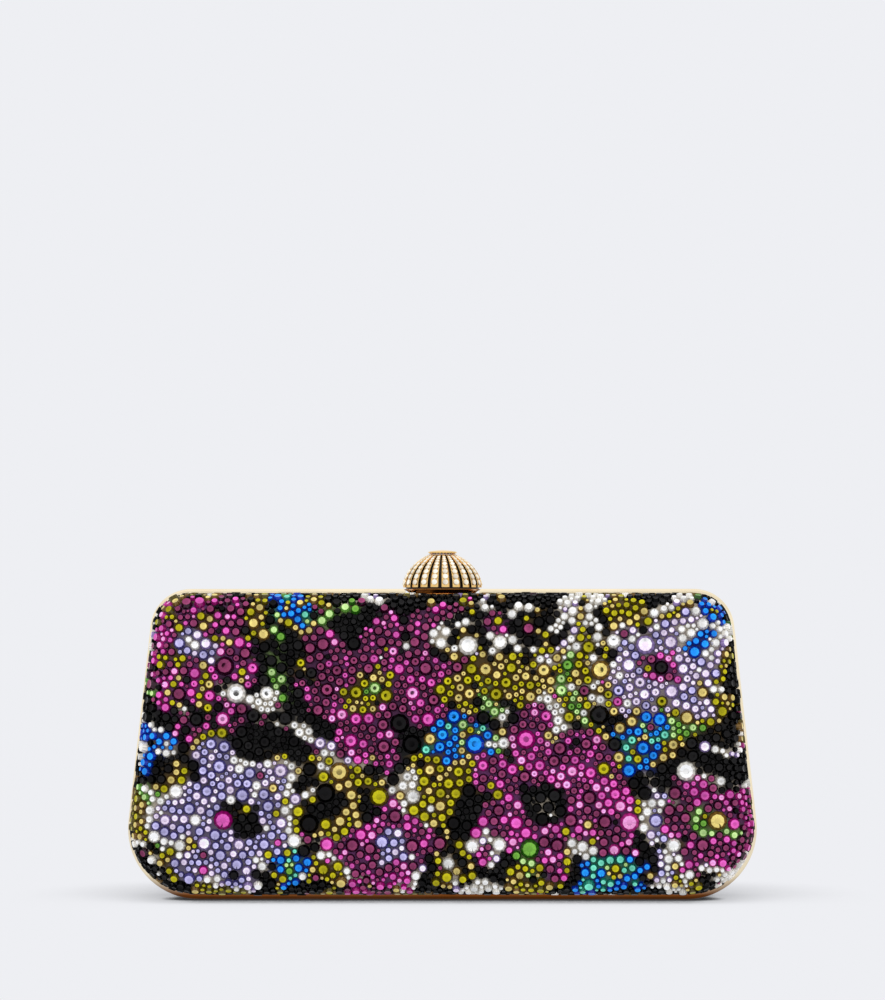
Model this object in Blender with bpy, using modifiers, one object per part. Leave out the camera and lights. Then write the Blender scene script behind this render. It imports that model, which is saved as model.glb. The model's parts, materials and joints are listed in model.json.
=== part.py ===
"""A hard-case evening clutch: two crowned half shells in slim gilt frames, hinged along the bottom,
with a sprung ribbed push knob on top that works a hook latch.

Metres, +Z up, front towards -Y. The origin is the middle of the bottom, on the parting plane.
"""

import math

import bmesh
import bpy
from mathutils import Matrix
from mathutils.bvhtree import BVHTree

# Case outline, seen from the front
CASE_WIDTH = 0.200
CASE_HEIGHT = 0.0987
SIDE_LEAN = math.radians(6.45)
TOP_CORNER = 0.013
BOTTOM_CORNER = 0.0225

# Case section, front to back
CASE_DEPTH = 0.044
EDGE_ROUND = 0.007
CROWN = 0.0025

# Clearances
PARTING_GAP = 0.0003
SEAT_GAP = 0.0003
GLUE_GAP = 0.0002
RUN_GAP = 0.0002

# Layers of each half, from the stones inwards
FRAME_PROUD = 0.00135
STONE_DEPTH = 0.0011
COVER_THICK = 0.0004
SHELL_WALL = 0.0016
SPIGOT_WALL = 0.001
LINING_THICK = 0.0007

# Crystals: a skin stands for the small ones, and the main ones rise from it
SMALL_STONE_HEIGHT = 0.0009
MAIN_STONE_PITCH = 0.0092
MAIN_STONE_STRAY = 0.0017
MAIN_STONE_KINDS = ((0.08, 0.0064), (0.50, 0.0047), (1.0, 0.0039))
MAIN_STONE_LIFT = 0.0004
MAIN_STONE_RISE = 0.45
MAIN_STONE_TABLE = 0.76

# Frames
FRAME_DEPTH = 0.005
FRAME_FILLET = 0.0007
SPIGOT_LENGTH = 0.004
LIP_WALL = 0.0008
LIP_REACH = 0.002
LIP_FROM = 0.030

# Hinges
HINGE_RISE = 0.0022
HINGE_PLACE = 0.052
HINGE_LENGTH = 0.024
HINGE_PIN_RADIUS = 0.0006
KNUCKLE_WALL = 0.0006
LEAF_THICK = 0.0009

# Knob
KNOB_RADIUS = 0.0126
KNOB_SINK = 0.00035
KNOB_TRAVEL = 0.001
RIM_HEIGHT = 0.0009
RIM_OVERHANG = 0.0001
SKIRT_DROP = 0.001
SKIRT_TAPER = 0.0021
DOME_HEIGHT = 0.01115
DOME_POWER = 1.75
RIB_COUNT = 22
RIB_HEIGHT = 0.0006
RIB_TURN = math.radians(5.9)
GROOVE_SHARE = 0.34
CORE_WALL = 0.0012
CAP_RADIUS = 0.0046
CAP_EDGE = 0.00065
CAP_RISE = 0.0006

# Stem, its bush and its spring
STEM_RADIUS = 0.0015
STEM_TIP_RADIUS = 0.0006
STEM_TIP_LENGTH = 0.0013
COLLAR_WIDTH = 0.0011
COLLAR_THICK = 0.0008
CLIP_THICK = 0.0005
CLIP_WIDTH = 0.0008
CLIP_BITE = 0.0004
BUSH_WALL = 0.0008
BUSH_SHOULDER = 0.0004
SPRING_WIRE = 0.00025
KNOB_SPRING_TURNS = 6
HOOK_SPRING_TURNS = 4

# Latch
BRACKET_PLATE = 0.0012
BRACKET_CHEEK = 0.001
WING_HALF = 0.011
HOOK_HALF = 0.0023
ARM_DROP = 0.00285
ARM_THICK = 0.0013
PIVOT_BACK = 0.0032
PIVOT_DROP = 0.0007
HOOK_PIN_RADIUS = 0.0006
BOSS_WALL = 0.0006
NOSE_THICK = 0.0011
NOSE_OVERLAP = 0.0005
SPRING_SPACE = 0.004
STRIKE_THICK = 0.0008
STRIKE_BAR = 0.0011
STRIKE_LIFT = 0.0006
STRIKE_HALF = 0.011
SCREW_PLACE = 0.0085
SCREW_RADIUS = 0.0007
SCREW_LENGTH = 0.0042
SCREW_HEAD_RADIUS = 0.0013
SCREW_HEAD_HEIGHT = 0.0008

# Facets
CORNER_STEPS = 5
EDGE_STEPS = 3
FACE_RINGS = (0.5,)
ROUND_SIDES = 12
RIB_SIDES = 44
KNOB_SIDES = 32
CORE_SIDES = 22
STONE_SIDES = 6
DOME_STEPS = 6
LEAST_ROUND = 0.0009
CUT_OVER = 0.002
JOIN_OVER = 0.0002

# Places that follow from the sizes above
FRONT = -1
BACK = 1
HALF_GAP = PARTING_GAP / 2
FRAME_FACE = HALF_GAP + FRAME_DEPTH
TRAY_RIM = FRAME_FACE + SEAT_GAP
FLAT_TOP = CASE_DEPTH / 2 - CROWN
CASE_MIDDLE = CASE_HEIGHT / 2
COVER_AT = STONE_DEPTH + GLUE_GAP
SKIN_AT = COVER_AT - SMALL_STONE_HEIGHT
SKIN_THICK = SMALL_STONE_HEIGHT - GLUE_GAP
SHELL_AT = COVER_AT + COVER_THICK + GLUE_GAP
SPIGOT_AT = SHELL_AT + SHELL_WALL + SEAT_GAP
LINING_AT = SPIGOT_AT + SPIGOT_WALL + GLUE_GAP
LINING_FLOOR_AT = SHELL_AT + SHELL_WALL + GLUE_GAP
FRAME_WIDTH = FRAME_PROUD + SPIGOT_AT + SPIGOT_WALL
BOTTOM_CORNER_X = CASE_WIDTH / 2 - BOTTOM_CORNER
SIDE_REACH = (
    BOTTOM_CORNER_X * math.cos(SIDE_LEAN) + BOTTOM_CORNER * math.sin(SIDE_LEAN) + BOTTOM_CORNER
)
KNUCKLE_RADIUS = HINGE_PIN_RADIUS + RUN_GAP + KNUCKLE_WALL
LEAF_BOTTOM = HINGE_RISE + KNUCKLE_RADIUS + SEAT_GAP
LEAF_TOP = FRAME_WIDTH - SEAT_GAP / 2
RIM_BOTTOM = CASE_HEIGHT - KNOB_SINK
RIM_TOP = RIM_BOTTOM + RIM_HEIGHT
SKIRT_BOTTOM = RIM_BOTTOM - SKIRT_DROP
WELL_FLOOR = SKIRT_BOTTOM - KNOB_TRAVEL - SEAT_GAP
WELL_RADIUS = KNOB_RADIUS + SEAT_GAP
STONES_UNDER = CASE_HEIGHT - FRAME_PROUD - STONE_DEPTH
DOME_BASE = RIM_TOP + GLUE_GAP
DOME_RADIUS = KNOB_RADIUS - RIM_OVERHANG
CORE_INSET = RIB_HEIGHT + GLUE_GAP
CAP_SEAT_RADIUS = CAP_RADIUS - SEAT_GAP
BAR_UNDER = CASE_HEIGHT - FRAME_WIDTH
PLATE_TOP = BAR_UNDER - SEAT_GAP
PLATE_UNDER = PLATE_TOP - BRACKET_PLATE
ARM_TOP = PLATE_UNDER - ARM_DROP
ARM_UNDER = ARM_TOP - ARM_THICK
PIVOT_Z = ARM_TOP - PIVOT_DROP
BOSS_RADIUS = HOOK_PIN_RADIUS + RUN_GAP + BOSS_WALL
STEM_BOTTOM = ARM_TOP + SEAT_GAP
CLIP_TOP = PLATE_UNDER - SEAT_GAP
CLIP_BORE = STEM_RADIUS - CLIP_BITE + RUN_GAP / 2
CLIP_RADIUS = CLIP_BORE + CLIP_WIDTH
STRIKE_PLACE = CLIP_RADIUS + SEAT_GAP + STRIKE_THICK / 2
BUSH_TOP = WELL_FLOOR - GLUE_GAP / 2
BUSH_BORE = STEM_RADIUS + RUN_GAP
BUSH_RADIUS = BUSH_BORE + BUSH_WALL
COIL_RADIUS = STEM_RADIUS + RUN_GAP + SPRING_WIRE
BRACKET_FLOOR = ARM_UNDER - SPRING_SPACE - 2 * SEAT_GAP
CHEEK_INNER = HOOK_HALF + SEAT_GAP
CHEEK_OUTER = CHEEK_INNER + BRACKET_CHEEK
BRACKET_FRONT = BUSH_RADIUS + BRACKET_PLATE
BRACKET_BACK = FRAME_FACE - 2 * SEAT_GAP
CHEEK_FRONT = STRIKE_PLACE - STRIKE_THICK / 2 - 2 * SEAT_GAP
BAR_MIDDLE = HALF_GAP + FRAME_DEPTH / 2
STRIKE_BOTTOM = ARM_TOP + STRIKE_LIFT
STRIKE_TOP = STRIKE_BOTTOM + STRIKE_BAR
STRIKE_LEG = CHEEK_OUTER + BRACKET_CHEEK + 2 * SEAT_GAP


def collection(name, hidden=False):
    """A new collection in the scene, left out of renders where hidden."""
    made = bpy.data.collections.new(name)
    made.hide_render = hidden
    bpy.context.scene.collection.children.link(made)
    return made


def material(name, colour, roughness, metallic=0.0):
    """A plain Principled material."""
    made = bpy.data.materials.new(name)
    made.use_nodes = True
    shader = made.node_tree.nodes["Principled BSDF"]
    shader.inputs["Base Color"].default_value = (*colour, 1.0)
    shader.inputs["Roughness"].default_value = roughness
    shader.inputs["Metallic"].default_value = metallic
    return made


def object_from(name, shape, group):
    """An object of a bmesh or a mesh, in a collection. A bmesh is freed."""
    if isinstance(shape, bmesh.types.BMesh):
        mesh = bpy.data.meshes.new(name)
        shape.to_mesh(mesh)
        shape.free()
    else:
        mesh = shape
    made = bpy.data.objects.new(name, mesh)
    group.objects.link(made)
    return made


def as_cutter(made):
    """Marks a helper that only cuts or joins."""
    made.hide_render = True
    made.display_type = "WIRE"
    return made


def finish(made, look, angle=35):
    """Gives a piece its material and smooth shading between sharp edges."""
    made.data.materials.append(look)
    made.data.shade_smooth()
    made.data.set_sharp_from_angle(angle=math.radians(angle))
    return made


def box(name, low, high, group):
    """A box between two corners."""
    shape = bmesh.new()
    bmesh.ops.create_cube(shape, size=1.0)
    size = [b - a for a, b in zip(low, high)]
    middle = [(a + b) / 2 for a, b in zip(low, high)]
    bmesh.ops.scale(shape, vec=size, verts=shape.verts)
    bmesh.ops.translate(shape, vec=middle, verts=shape.verts)
    return object_from(name, shape, group)


def rod(name, radius, start, end, across, axis, group):
    """A round rod along X or Z from start to end, with its axis at across in the other two directions."""
    shape = bmesh.new()
    bmesh.ops.create_cone(
        shape,
        cap_ends=True,
        segments=ROUND_SIDES,
        radius1=radius,
        radius2=radius,
        depth=end - start,
    )
    middle = (start + end) / 2
    if axis == "X":
        turn = Matrix.Rotation(math.pi / 2, 4, "Y")
        place = (middle, across[0], across[1])
    else:
        turn = Matrix.Identity(4)
        place = (across[0], across[1], middle)
    bmesh.ops.transform(shape, matrix=Matrix.Translation(place) @ turn, verts=shape.verts)
    return object_from(name, shape, group)


def turned(name, profile, sides, group, place=(0.0, 0.0)):
    """A profile of (radius, z) turned about a vertical axis. It is closed unless it ends on the axis."""
    on_axis = profile[0][0] == 0.0
    shape = bmesh.new()
    points = [shape.verts.new((radius, 0.0, z)) for radius, z in profile]
    for first, second in zip(points, points[1:]):
        shape.edges.new((first, second))
    if not on_axis:
        shape.edges.new((points[-1], points[0]))
    made = object_from(name, shape, group)
    made.location = (*place, 0.0)
    spin = made.modifiers.new("Turn", "SCREW")
    spin.steps = sides
    spin.render_steps = sides
    spin.use_merge_vertices = True
    spin.merge_threshold = 1e-6
    spin.use_normal_calculate = False
    return made


def plate(name, outlines, low, high, along, group):
    """A flat piece of filled outlines. Along Y they are (x, z) points, along X they are (y, z)."""
    curve = bpy.data.curves.new(name, "CURVE")
    curve.dimensions = "2D"
    curve.fill_mode = "BOTH"
    curve.extrude = (high - low) / 2
    for points in outlines:
        spline = curve.splines.new("POLY")
        spline.points.add(len(points) - 1)
        for point, (across, up) in zip(spline.points, points):
            point.co = (across, up, 0.0, 1.0)
        spline.use_cyclic_u = True
    drawn = bpy.data.objects.new(name + "_outline", curve)
    middle = (low + high) / 2
    if along == "Y":
        drawn.matrix_world = Matrix(
            ((1, 0, 0, 0), (0, 0, -1, middle), (0, 1, 0, 0), (0, 0, 0, 1))
        )
    else:
        drawn.matrix_world = Matrix(
            ((0, 0, 1, middle), (1, 0, 0, 0), (0, 1, 0, 0), (0, 0, 0, 1))
        )
    group.objects.link(drawn)
    bpy.context.view_layer.update()
    graph = bpy.context.evaluated_depsgraph_get()
    mesh = bpy.data.meshes.new_from_object(drawn.evaluated_get(graph))
    mesh.name = name
    shape = bmesh.new()
    shape.from_mesh(mesh)
    bmesh.ops.remove_doubles(shape, verts=shape.verts, dist=1e-6)
    bmesh.ops.recalc_face_normals(shape, faces=shape.faces)
    bmesh.ops.transform(shape, matrix=drawn.matrix_world, verts=shape.verts)
    shape.to_mesh(mesh)
    shape.free()
    bpy.data.objects.remove(drawn)
    return object_from(name, mesh, group)


def wire_coil(name, radius, low, high, turns, place, group):
    """A compression spring of round wire standing upright, with a flat half turn at each end."""
    per_turn = 8
    count = turns * per_turn
    curve = bpy.data.curves.new(name, "CURVE")
    curve.dimensions = "3D"
    curve.bevel_depth = SPRING_WIRE
    curve.bevel_resolution = 1
    curve.use_fill_caps = True
    spline = curve.splines.new("POLY")
    spline.points.add(count)
    ends = per_turn // 2
    for step, point in enumerate(spline.points):
        turn = 2 * math.pi * step / per_turn
        climb = min(max(step - ends, 0), count - 2 * ends) / (count - 2 * ends)
        lift = low + SPRING_WIRE + (high - low - 2 * SPRING_WIRE) * climb
        across = (place[0] + radius * math.cos(turn), place[1] + radius * math.sin(turn))
        point.co = (*across, lift, 1.0)
    made = bpy.data.objects.new(name, curve)
    group.objects.link(made)
    return made


def cut(made, cutter):
    """Takes the cutter's volume away from a piece."""
    step = made.modifiers.new("Cut " + cutter.name, "BOOLEAN")
    step.operation = "DIFFERENCE"
    step.object = as_cutter(cutter)


def join(made, other):
    """Makes another shape part of a piece."""
    step = made.modifiers.new("Join " + other.name, "BOOLEAN")
    step.operation = "UNION"
    step.object = as_cutter(other)


def hang(made, pivot):
    """Makes a piece follow an empty on its joint's axis."""
    made.parent = pivot
    made.matrix_parent_inverse = Matrix.Translation(pivot.location).inverted()


def side_point(inset, height):
    """The x of the leaning side at a height, moved inwards."""
    return (SIDE_REACH - inset - height * math.sin(SIDE_LEAN)) / math.cos(SIDE_LEAN)


def corner(inset, radius, centre_z, turns):
    """Points (x, z) of a right-hand corner's arc, which touches the leaning side."""
    centre_x = side_point(inset + radius, centre_z)
    return [
        (centre_x + radius * math.cos(turn), centre_z + radius * math.sin(turn)) for turn in turns
    ]


def spread(start, end):
    """The angles of a corner's facets, ends included."""
    return [start + (end - start) * step / CORNER_STEPS for step in range(CORNER_STEPS + 1)]


def top_corner(inset):
    """The upper right corner's points, upwards."""
    radius = max(TOP_CORNER - inset, LEAST_ROUND)
    turns = spread(SIDE_LEAN, math.pi / 2)
    return corner(inset, radius, CASE_HEIGHT - inset - radius, turns)


def outline(inset):
    """The case outline as (x, z) points moved inwards, anticlockwise from the bottom, seen from the front.

    The case is widest where a bottom corner's arc stands upright, so that point is one of the facets' ends.
    """
    radius = max(BOTTOM_CORNER - inset, LEAST_ROUND)
    turns = spread(-math.pi / 2, 0.0) + [SIDE_LEAN]
    bottom = corner(inset, radius, inset + radius, turns)
    top = top_corner(inset)
    right = [(bottom[0][0] / 3, bottom[0][1])] + bottom + top + [(top[-1][0] / 3, top[-1][1])]
    return right + [(-x, z) for x, z in reversed(right)]


def crown(x, z):
    """How far the crowned face stands out at a place."""
    across = 1 - (2 * x / CASE_WIDTH) ** 2
    up = 1 - (z / CASE_MIDDLE - 1) ** 2
    return CROWN * max(across, 0.0) * max(up, 0.0)


def tray_rings(wall_at, floor_at, rim):
    """Rings of (x, depth, z) from a tray's rim over its rounded edge to its crowned face."""
    radius = max(EDGE_ROUND - wall_at, LEAST_ROUND)
    arc_start = FLAT_TOP - floor_at - radius
    wall = FRAME_PROUD + wall_at
    rings = [[(x, rim, z) for x, z in outline(wall)]]
    for step in range(EDGE_STEPS + 1):
        turn = math.pi / 2 * step / EDGE_STEPS
        inset = wall + radius * (1 - math.cos(turn))
        depth = arc_start + radius * math.sin(turn)
        rings.append([(x, depth + crown(x, z), z) for x, z in outline(inset)])
    edge = rings[-1]
    for share in FACE_RINGS:
        ring = []
        for x, _, z in edge:
            inner_x = x * share
            inner_z = CASE_MIDDLE + (z - CASE_MIDDLE) * share
            ring.append((inner_x, FLAT_TOP - floor_at + crown(inner_x, inner_z), inner_z))
        rings.append(ring)
    return rings


def tray(name, side, wall_at, floor_at, rim, thick, look, group):
    """One layer of a half: an open surface through the rings, thickened inwards."""
    rings = tray_rings(wall_at, floor_at, rim)
    shape = bmesh.new()
    rows = [[shape.verts.new((x, side * depth, z)) for x, depth, z in ring] for ring in rings]
    middle_depth = FLAT_TOP - floor_at + CROWN
    middle = shape.verts.new((0.0, side * middle_depth, CASE_MIDDLE))
    count = len(rows[0])
    for lower, upper in zip(rows, rows[1:]):
        for at in range(count):
            after = (at + 1) % count
            shape.faces.new((lower[at], lower[after], upper[after], upper[at]))
    for at in range(count):
        shape.faces.new((rows[-1][at], rows[-1][(at + 1) % count], middle))
    if side == BACK:
        bmesh.ops.reverse_faces(shape, faces=shape.faces)
    made = object_from(name, shape, group)
    wall = made.modifiers.new("Wall", "SOLIDIFY")
    wall.thickness = thick
    wall.offset = -1.0
    wall.use_even_offset = True
    return finish(made, look)


def fillet(inset, depth, inset_sign, depth_sign):
    """Three points of a rounded edge of the frame section, starting on the face across the depth."""
    points = []
    for turn in (0.0, math.pi / 4, math.pi / 2):
        points.append(
            (
                inset + inset_sign * FRAME_FILLET * (1 - math.sin(turn)),
                depth + depth_sign * FRAME_FILLET * (1 - math.cos(turn)),
            )
        )
    return points


def frame(name, side, look, group):
    """A half frame: one section, with its spigot for the shell, taken round the outline."""
    spigot = FRAME_PROUD + SPIGOT_AT
    section = fillet(0.0, HALF_GAP, 1, 1)
    section += reversed(fillet(0.0, FRAME_FACE, 1, -1))
    section += [
        (spigot, FRAME_FACE),
        (spigot, FRAME_FACE + SPIGOT_LENGTH),
        (FRAME_WIDTH, FRAME_FACE + SPIGOT_LENGTH),
        (FRAME_WIDTH, HALF_GAP + FRAME_FILLET / 2),
        (FRAME_WIDTH - FRAME_FILLET / 2, HALF_GAP),
    ]
    shape = bmesh.new()
    rows = []
    for inset, depth in section:
        rows.append([shape.verts.new((x, side * depth, z)) for x, z in outline(inset)])
    count = len(rows[0])
    for place, lower in enumerate(rows):
        upper = rows[(place + 1) % len(rows)]
        for at in range(count):
            after = (at + 1) % count
            shape.faces.new((lower[at], lower[after], upper[after], upper[at]))
    bmesh.ops.recalc_face_normals(shape, faces=shape.faces)
    return finish(object_from(name, shape, group), look)


def closing_lip(name, side, look, group):
    """The strip inside the back frame that enters the front one, from the bottom corner to the latch."""
    outer = FRAME_WIDTH + SEAT_GAP
    inner = outer + LIP_WALL
    stop = WING_HALF + 2 * SEAT_GAP
    path = []
    for inset in (outer, inner):
        line = [(side_point(inset, LIP_FROM), LIP_FROM)]
        line += top_corner(inset)
        line.append((stop, CASE_HEIGHT - inset))
        path.append(line)
    points = [(side * x, z) for x, z in path[0] + path[1][::-1]]
    made = plate(name, [points], -LIP_REACH, FRAME_FACE - SEAT_GAP, "Y", group)
    return finish(made, look)


def dome_point(share, inset):
    """A point (radius, z) of the knob's dome, or of one inside it, from share 0 at the base to 1 on top."""
    turn = share * math.pi / 2
    power = 2 / DOME_POWER
    radius = (DOME_RADIUS - inset) * math.cos(turn) ** power
    rise = (DOME_HEIGHT - inset) * math.sin(turn) ** power
    return radius, DOME_BASE + rise


def dome_share(radius, inset):
    """The share at which the dome has a given radius."""
    return math.acos((radius / (DOME_RADIUS - inset)) ** (DOME_POWER / 2)) * 2 / math.pi


def collar_top():
    """Where the stem's collar bears on the inside of the core."""
    roof_inset = CORE_INSET + CORE_WALL
    share = dome_share(STEM_RADIUS + COLLAR_WIDTH, roof_inset)
    return dome_point(share, roof_inset)[1] - SEAT_GAP


def dome_line(inset, least_radius):
    """Points of the dome from its top opening down to its base."""
    top = dome_share(least_radius, inset)
    return [dome_point(top * (1 - step / DOME_STEPS), inset) for step in range(DOME_STEPS + 1)]


def knob_ribs(look, group, helpers):
    """The gilt cage: a thin dome with a slot over each enamel groove."""
    inner_top = CAP_SEAT_RADIUS - RIB_HEIGHT / 2
    outside = dome_line(0.0, inner_top)
    inside = dome_line(RIB_HEIGHT, inner_top - RIB_HEIGHT / 2)
    made = turned("knob_ribs", outside + inside[::-1], RIB_SIDES, group)
    made.rotation_euler.z = RIB_TURN
    slots = bmesh.new()
    inner = CAP_SEAT_RADIUS
    outer = KNOB_RADIUS + CUT_OVER
    low = DOME_BASE + RIB_HEIGHT
    high = DOME_BASE + DOME_HEIGHT + CUT_OVER
    half = math.pi / RIB_COUNT * GROOVE_SHARE
    for place in range(RIB_COUNT):
        middle = 2 * math.pi * (place + 0.5) / RIB_COUNT + math.pi / 2
        corners = []
        for z in (low, high):
            for radius, turn in ((inner, -half), (outer, -half), (outer, half), (inner, half)):
                at = middle + turn
                corners.append(slots.verts.new((radius * math.cos(at), radius * math.sin(at), z)))
        bottom = corners[:4]
        top = corners[4:]
        slots.faces.new(bottom[::-1])
        slots.faces.new(top)
        for at in range(4):
            after = (at + 1) % 4
            slots.faces.new((bottom[at], bottom[after], top[after], top[at]))
    cutter = object_from("groove_slots", slots, helpers)
    cutter.rotation_euler.z = RIB_TURN
    cut(made, cutter)
    return finish(made, look)


def knob_core(look, group):
    """The enamelled dome that shows between the ribs, open below and bored for the stem."""
    bore = STEM_RADIUS + RUN_GAP
    outside = dome_line(CORE_INSET, bore)
    inside = dome_line(CORE_INSET + CORE_WALL, bore)
    return finish(turned("knob_enamel", outside + inside[::-1], CORE_SIDES, group), look)


def knob_cap(look, group):
    """The small disc that closes the ribs on top."""
    seat = dome_point(dome_share(CAP_SEAT_RADIUS - RIB_HEIGHT / 2, 0.0), 0.0)[1] + GLUE_GAP
    edge = seat + CAP_EDGE
    profile = [(0.0, edge + CAP_RISE)]
    for share in (0.5, 0.85):
        profile.append((CAP_RADIUS * share, edge + CAP_RISE * (1 - share**2)))
    profile += [(CAP_RADIUS, edge), (CAP_RADIUS, seat), (0.0, seat)]
    return finish(turned("knob_cap", profile, KNOB_SIDES, group), look)


def knob_base(look, group):
    """The rim ring with its tapered skirt, which dips into the well of the frames."""
    bore = COIL_RADIUS + SPRING_WIRE + 2 * SEAT_GAP
    narrow = KNOB_RADIUS - SKIRT_TAPER
    profile = [
        (bore, RIM_TOP),
        (KNOB_RADIUS - RIM_HEIGHT / 4, RIM_TOP),
        (KNOB_RADIUS, RIM_TOP - RIM_HEIGHT / 4),
        (KNOB_RADIUS, RIM_BOTTOM + RIM_HEIGHT / 4),
        (KNOB_RADIUS - RIM_HEIGHT / 4, RIM_BOTTOM),
        (narrow, SKIRT_BOTTOM),
        (bore, SKIRT_BOTTOM),
    ]
    return finish(turned("knob_base", profile, KNOB_SIDES, group), look)


def knob_stem(look, group):
    """The stem, from its tip over the hook's arm to its collar inside the dome."""
    shoulder = STEM_BOTTOM + STEM_TIP_LENGTH
    groove_top = CLIP_TOP + RUN_GAP / 2
    groove_bottom = CLIP_TOP - CLIP_THICK - RUN_GAP / 2
    groove = STEM_RADIUS - CLIP_BITE
    collar = STEM_RADIUS + COLLAR_WIDTH
    top = DOME_BASE + DOME_HEIGHT - CORE_INSET
    profile = [
        (0.0, top),
        (STEM_RADIUS, top),
        (STEM_RADIUS, collar_top()),
        (collar, collar_top()),
        (collar, collar_top() - COLLAR_THICK),
        (STEM_RADIUS, collar_top() - COLLAR_THICK),
        (STEM_RADIUS, groove_top),
        (groove, groove_top),
        (groove, groove_bottom),
        (STEM_RADIUS, groove_bottom),
        (STEM_RADIUS, shoulder),
        (STEM_TIP_RADIUS, shoulder),
        (STEM_TIP_RADIUS, STEM_BOTTOM),
        (0.0, STEM_BOTTOM),
    ]
    return finish(turned("knob_stem", profile, ROUND_SIDES, group), look)


def stem_clip(look, group, helpers):
    """The open retaining ring that stops the stem below its bush."""
    bottom = CLIP_TOP - CLIP_THICK
    profile = [
        (CLIP_BORE, CLIP_TOP),
        (CLIP_RADIUS, CLIP_TOP),
        (CLIP_RADIUS, bottom),
        (CLIP_BORE, bottom),
    ]
    made = turned("stem_clip", profile, ROUND_SIDES, group)
    mouth = CLIP_BORE * 0.7
    low = (-mouth, CLIP_BORE / 2, bottom - CUT_OVER)
    high = (mouth, CLIP_RADIUS + CUT_OVER, CLIP_TOP + CUT_OVER)
    cut(made, box("clip_mouth", low, high, helpers))
    return finish(made, look)


def stem_bush(look, group):
    """The sleeve that guides the stem, seated in the latch bracket's plate."""
    spigot = BUSH_RADIUS - BUSH_SHOULDER
    shoulder = PLATE_TOP + SEAT_GAP
    profile = [
        (BUSH_BORE, BUSH_TOP),
        (BUSH_RADIUS, BUSH_TOP),
        (BUSH_RADIUS, shoulder),
        (spigot, shoulder),
        (spigot, PLATE_UNDER),
        (BUSH_BORE, PLATE_UNDER),
    ]
    return finish(turned("stem_bush", profile, ROUND_SIDES, group), look)


def latch_bracket(look, group, helpers):
    """The folded bracket under the back frame that carries the bush, the hook's pin and its spring."""
    made = box(
        "latch_bracket",
        (-WING_HALF, HALF_GAP + SEAT_GAP, PLATE_UNDER),
        (WING_HALF, BRACKET_BACK, PLATE_TOP),
        group,
    )
    tongue = box(
        "bracket_tongue",
        (-CHEEK_OUTER - JOIN_OVER, -BRACKET_FRONT, PLATE_UNDER),
        (CHEEK_OUTER + JOIN_OVER, BRACKET_BACK / 2, PLATE_TOP),
        helpers,
    )
    join(made, tongue)
    for name, side in (("left", -1), ("right", 1)):
        across = sorted((side * CHEEK_INNER, side * CHEEK_OUTER))
        cheek = box(
            "bracket_cheek_" + name,
            (across[0], -CHEEK_FRONT, BRACKET_FLOOR - BRACKET_CHEEK),
            (across[1], BRACKET_BACK - JOIN_OVER, PLATE_UNDER + BRACKET_PLATE / 2),
            helpers,
        )
        join(made, cheek)
    floor = box(
        "bracket_floor",
        (-CHEEK_INNER - BRACKET_CHEEK / 2, -CHEEK_FRONT + JOIN_OVER, BRACKET_FLOOR - BRACKET_CHEEK / 2),
        (CHEEK_INNER + BRACKET_CHEEK / 2, BRACKET_BACK - 2 * JOIN_OVER, BRACKET_FLOOR),
        helpers,
    )
    join(made, floor)
    bore = BUSH_RADIUS - BUSH_SHOULDER + RUN_GAP
    low = PLATE_UNDER - CUT_OVER / 4
    cut(made, rod("bush_hole", bore, low, PLATE_TOP + CUT_OVER, (0.0, 0.0), "Z", helpers))
    reach = CHEEK_OUTER + CUT_OVER
    pin_hole = HOOK_PIN_RADIUS + RUN_GAP
    cut(made, rod("pin_hole", pin_hole, -reach, reach, (PIVOT_BACK, PIVOT_Z), "X", helpers))
    return finish(made, look)


def strike_plate(look, group, helpers):
    """The catch under the front frame: two screwed feet and a bar behind which the hook's nose rises."""
    low_y = -STRIKE_PLACE - STRIKE_THICK / 2
    high_y = -STRIKE_PLACE + STRIKE_THICK / 2
    leg_out = STRIKE_LEG + BRACKET_CHEEK
    made = box(
        "strike_plate",
        (-leg_out, low_y, STRIKE_BOTTOM),
        (leg_out, high_y, STRIKE_TOP),
        group,
    )
    for name, side in (("left", -1), ("right", 1)):
        across = sorted((side * STRIKE_LEG, side * (leg_out + JOIN_OVER)))
        leg = box(
            "strike_leg_" + name,
            (across[0], low_y - JOIN_OVER, STRIKE_BOTTOM + JOIN_OVER),
            (across[1], high_y + JOIN_OVER, PLATE_TOP - STRIKE_THICK / 2),
            helpers,
        )
        join(made, leg)
        across = sorted((side * (STRIKE_LEG + JOIN_OVER), side * STRIKE_HALF))
        foot = box(
            "strike_foot_" + name,
            (across[0], -FRAME_FACE + SEAT_GAP, PLATE_TOP - STRIKE_THICK),
            (across[1], -HALF_GAP - SEAT_GAP, PLATE_TOP),
            helpers,
        )
        join(made, foot)
    return finish(made, look)


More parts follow.
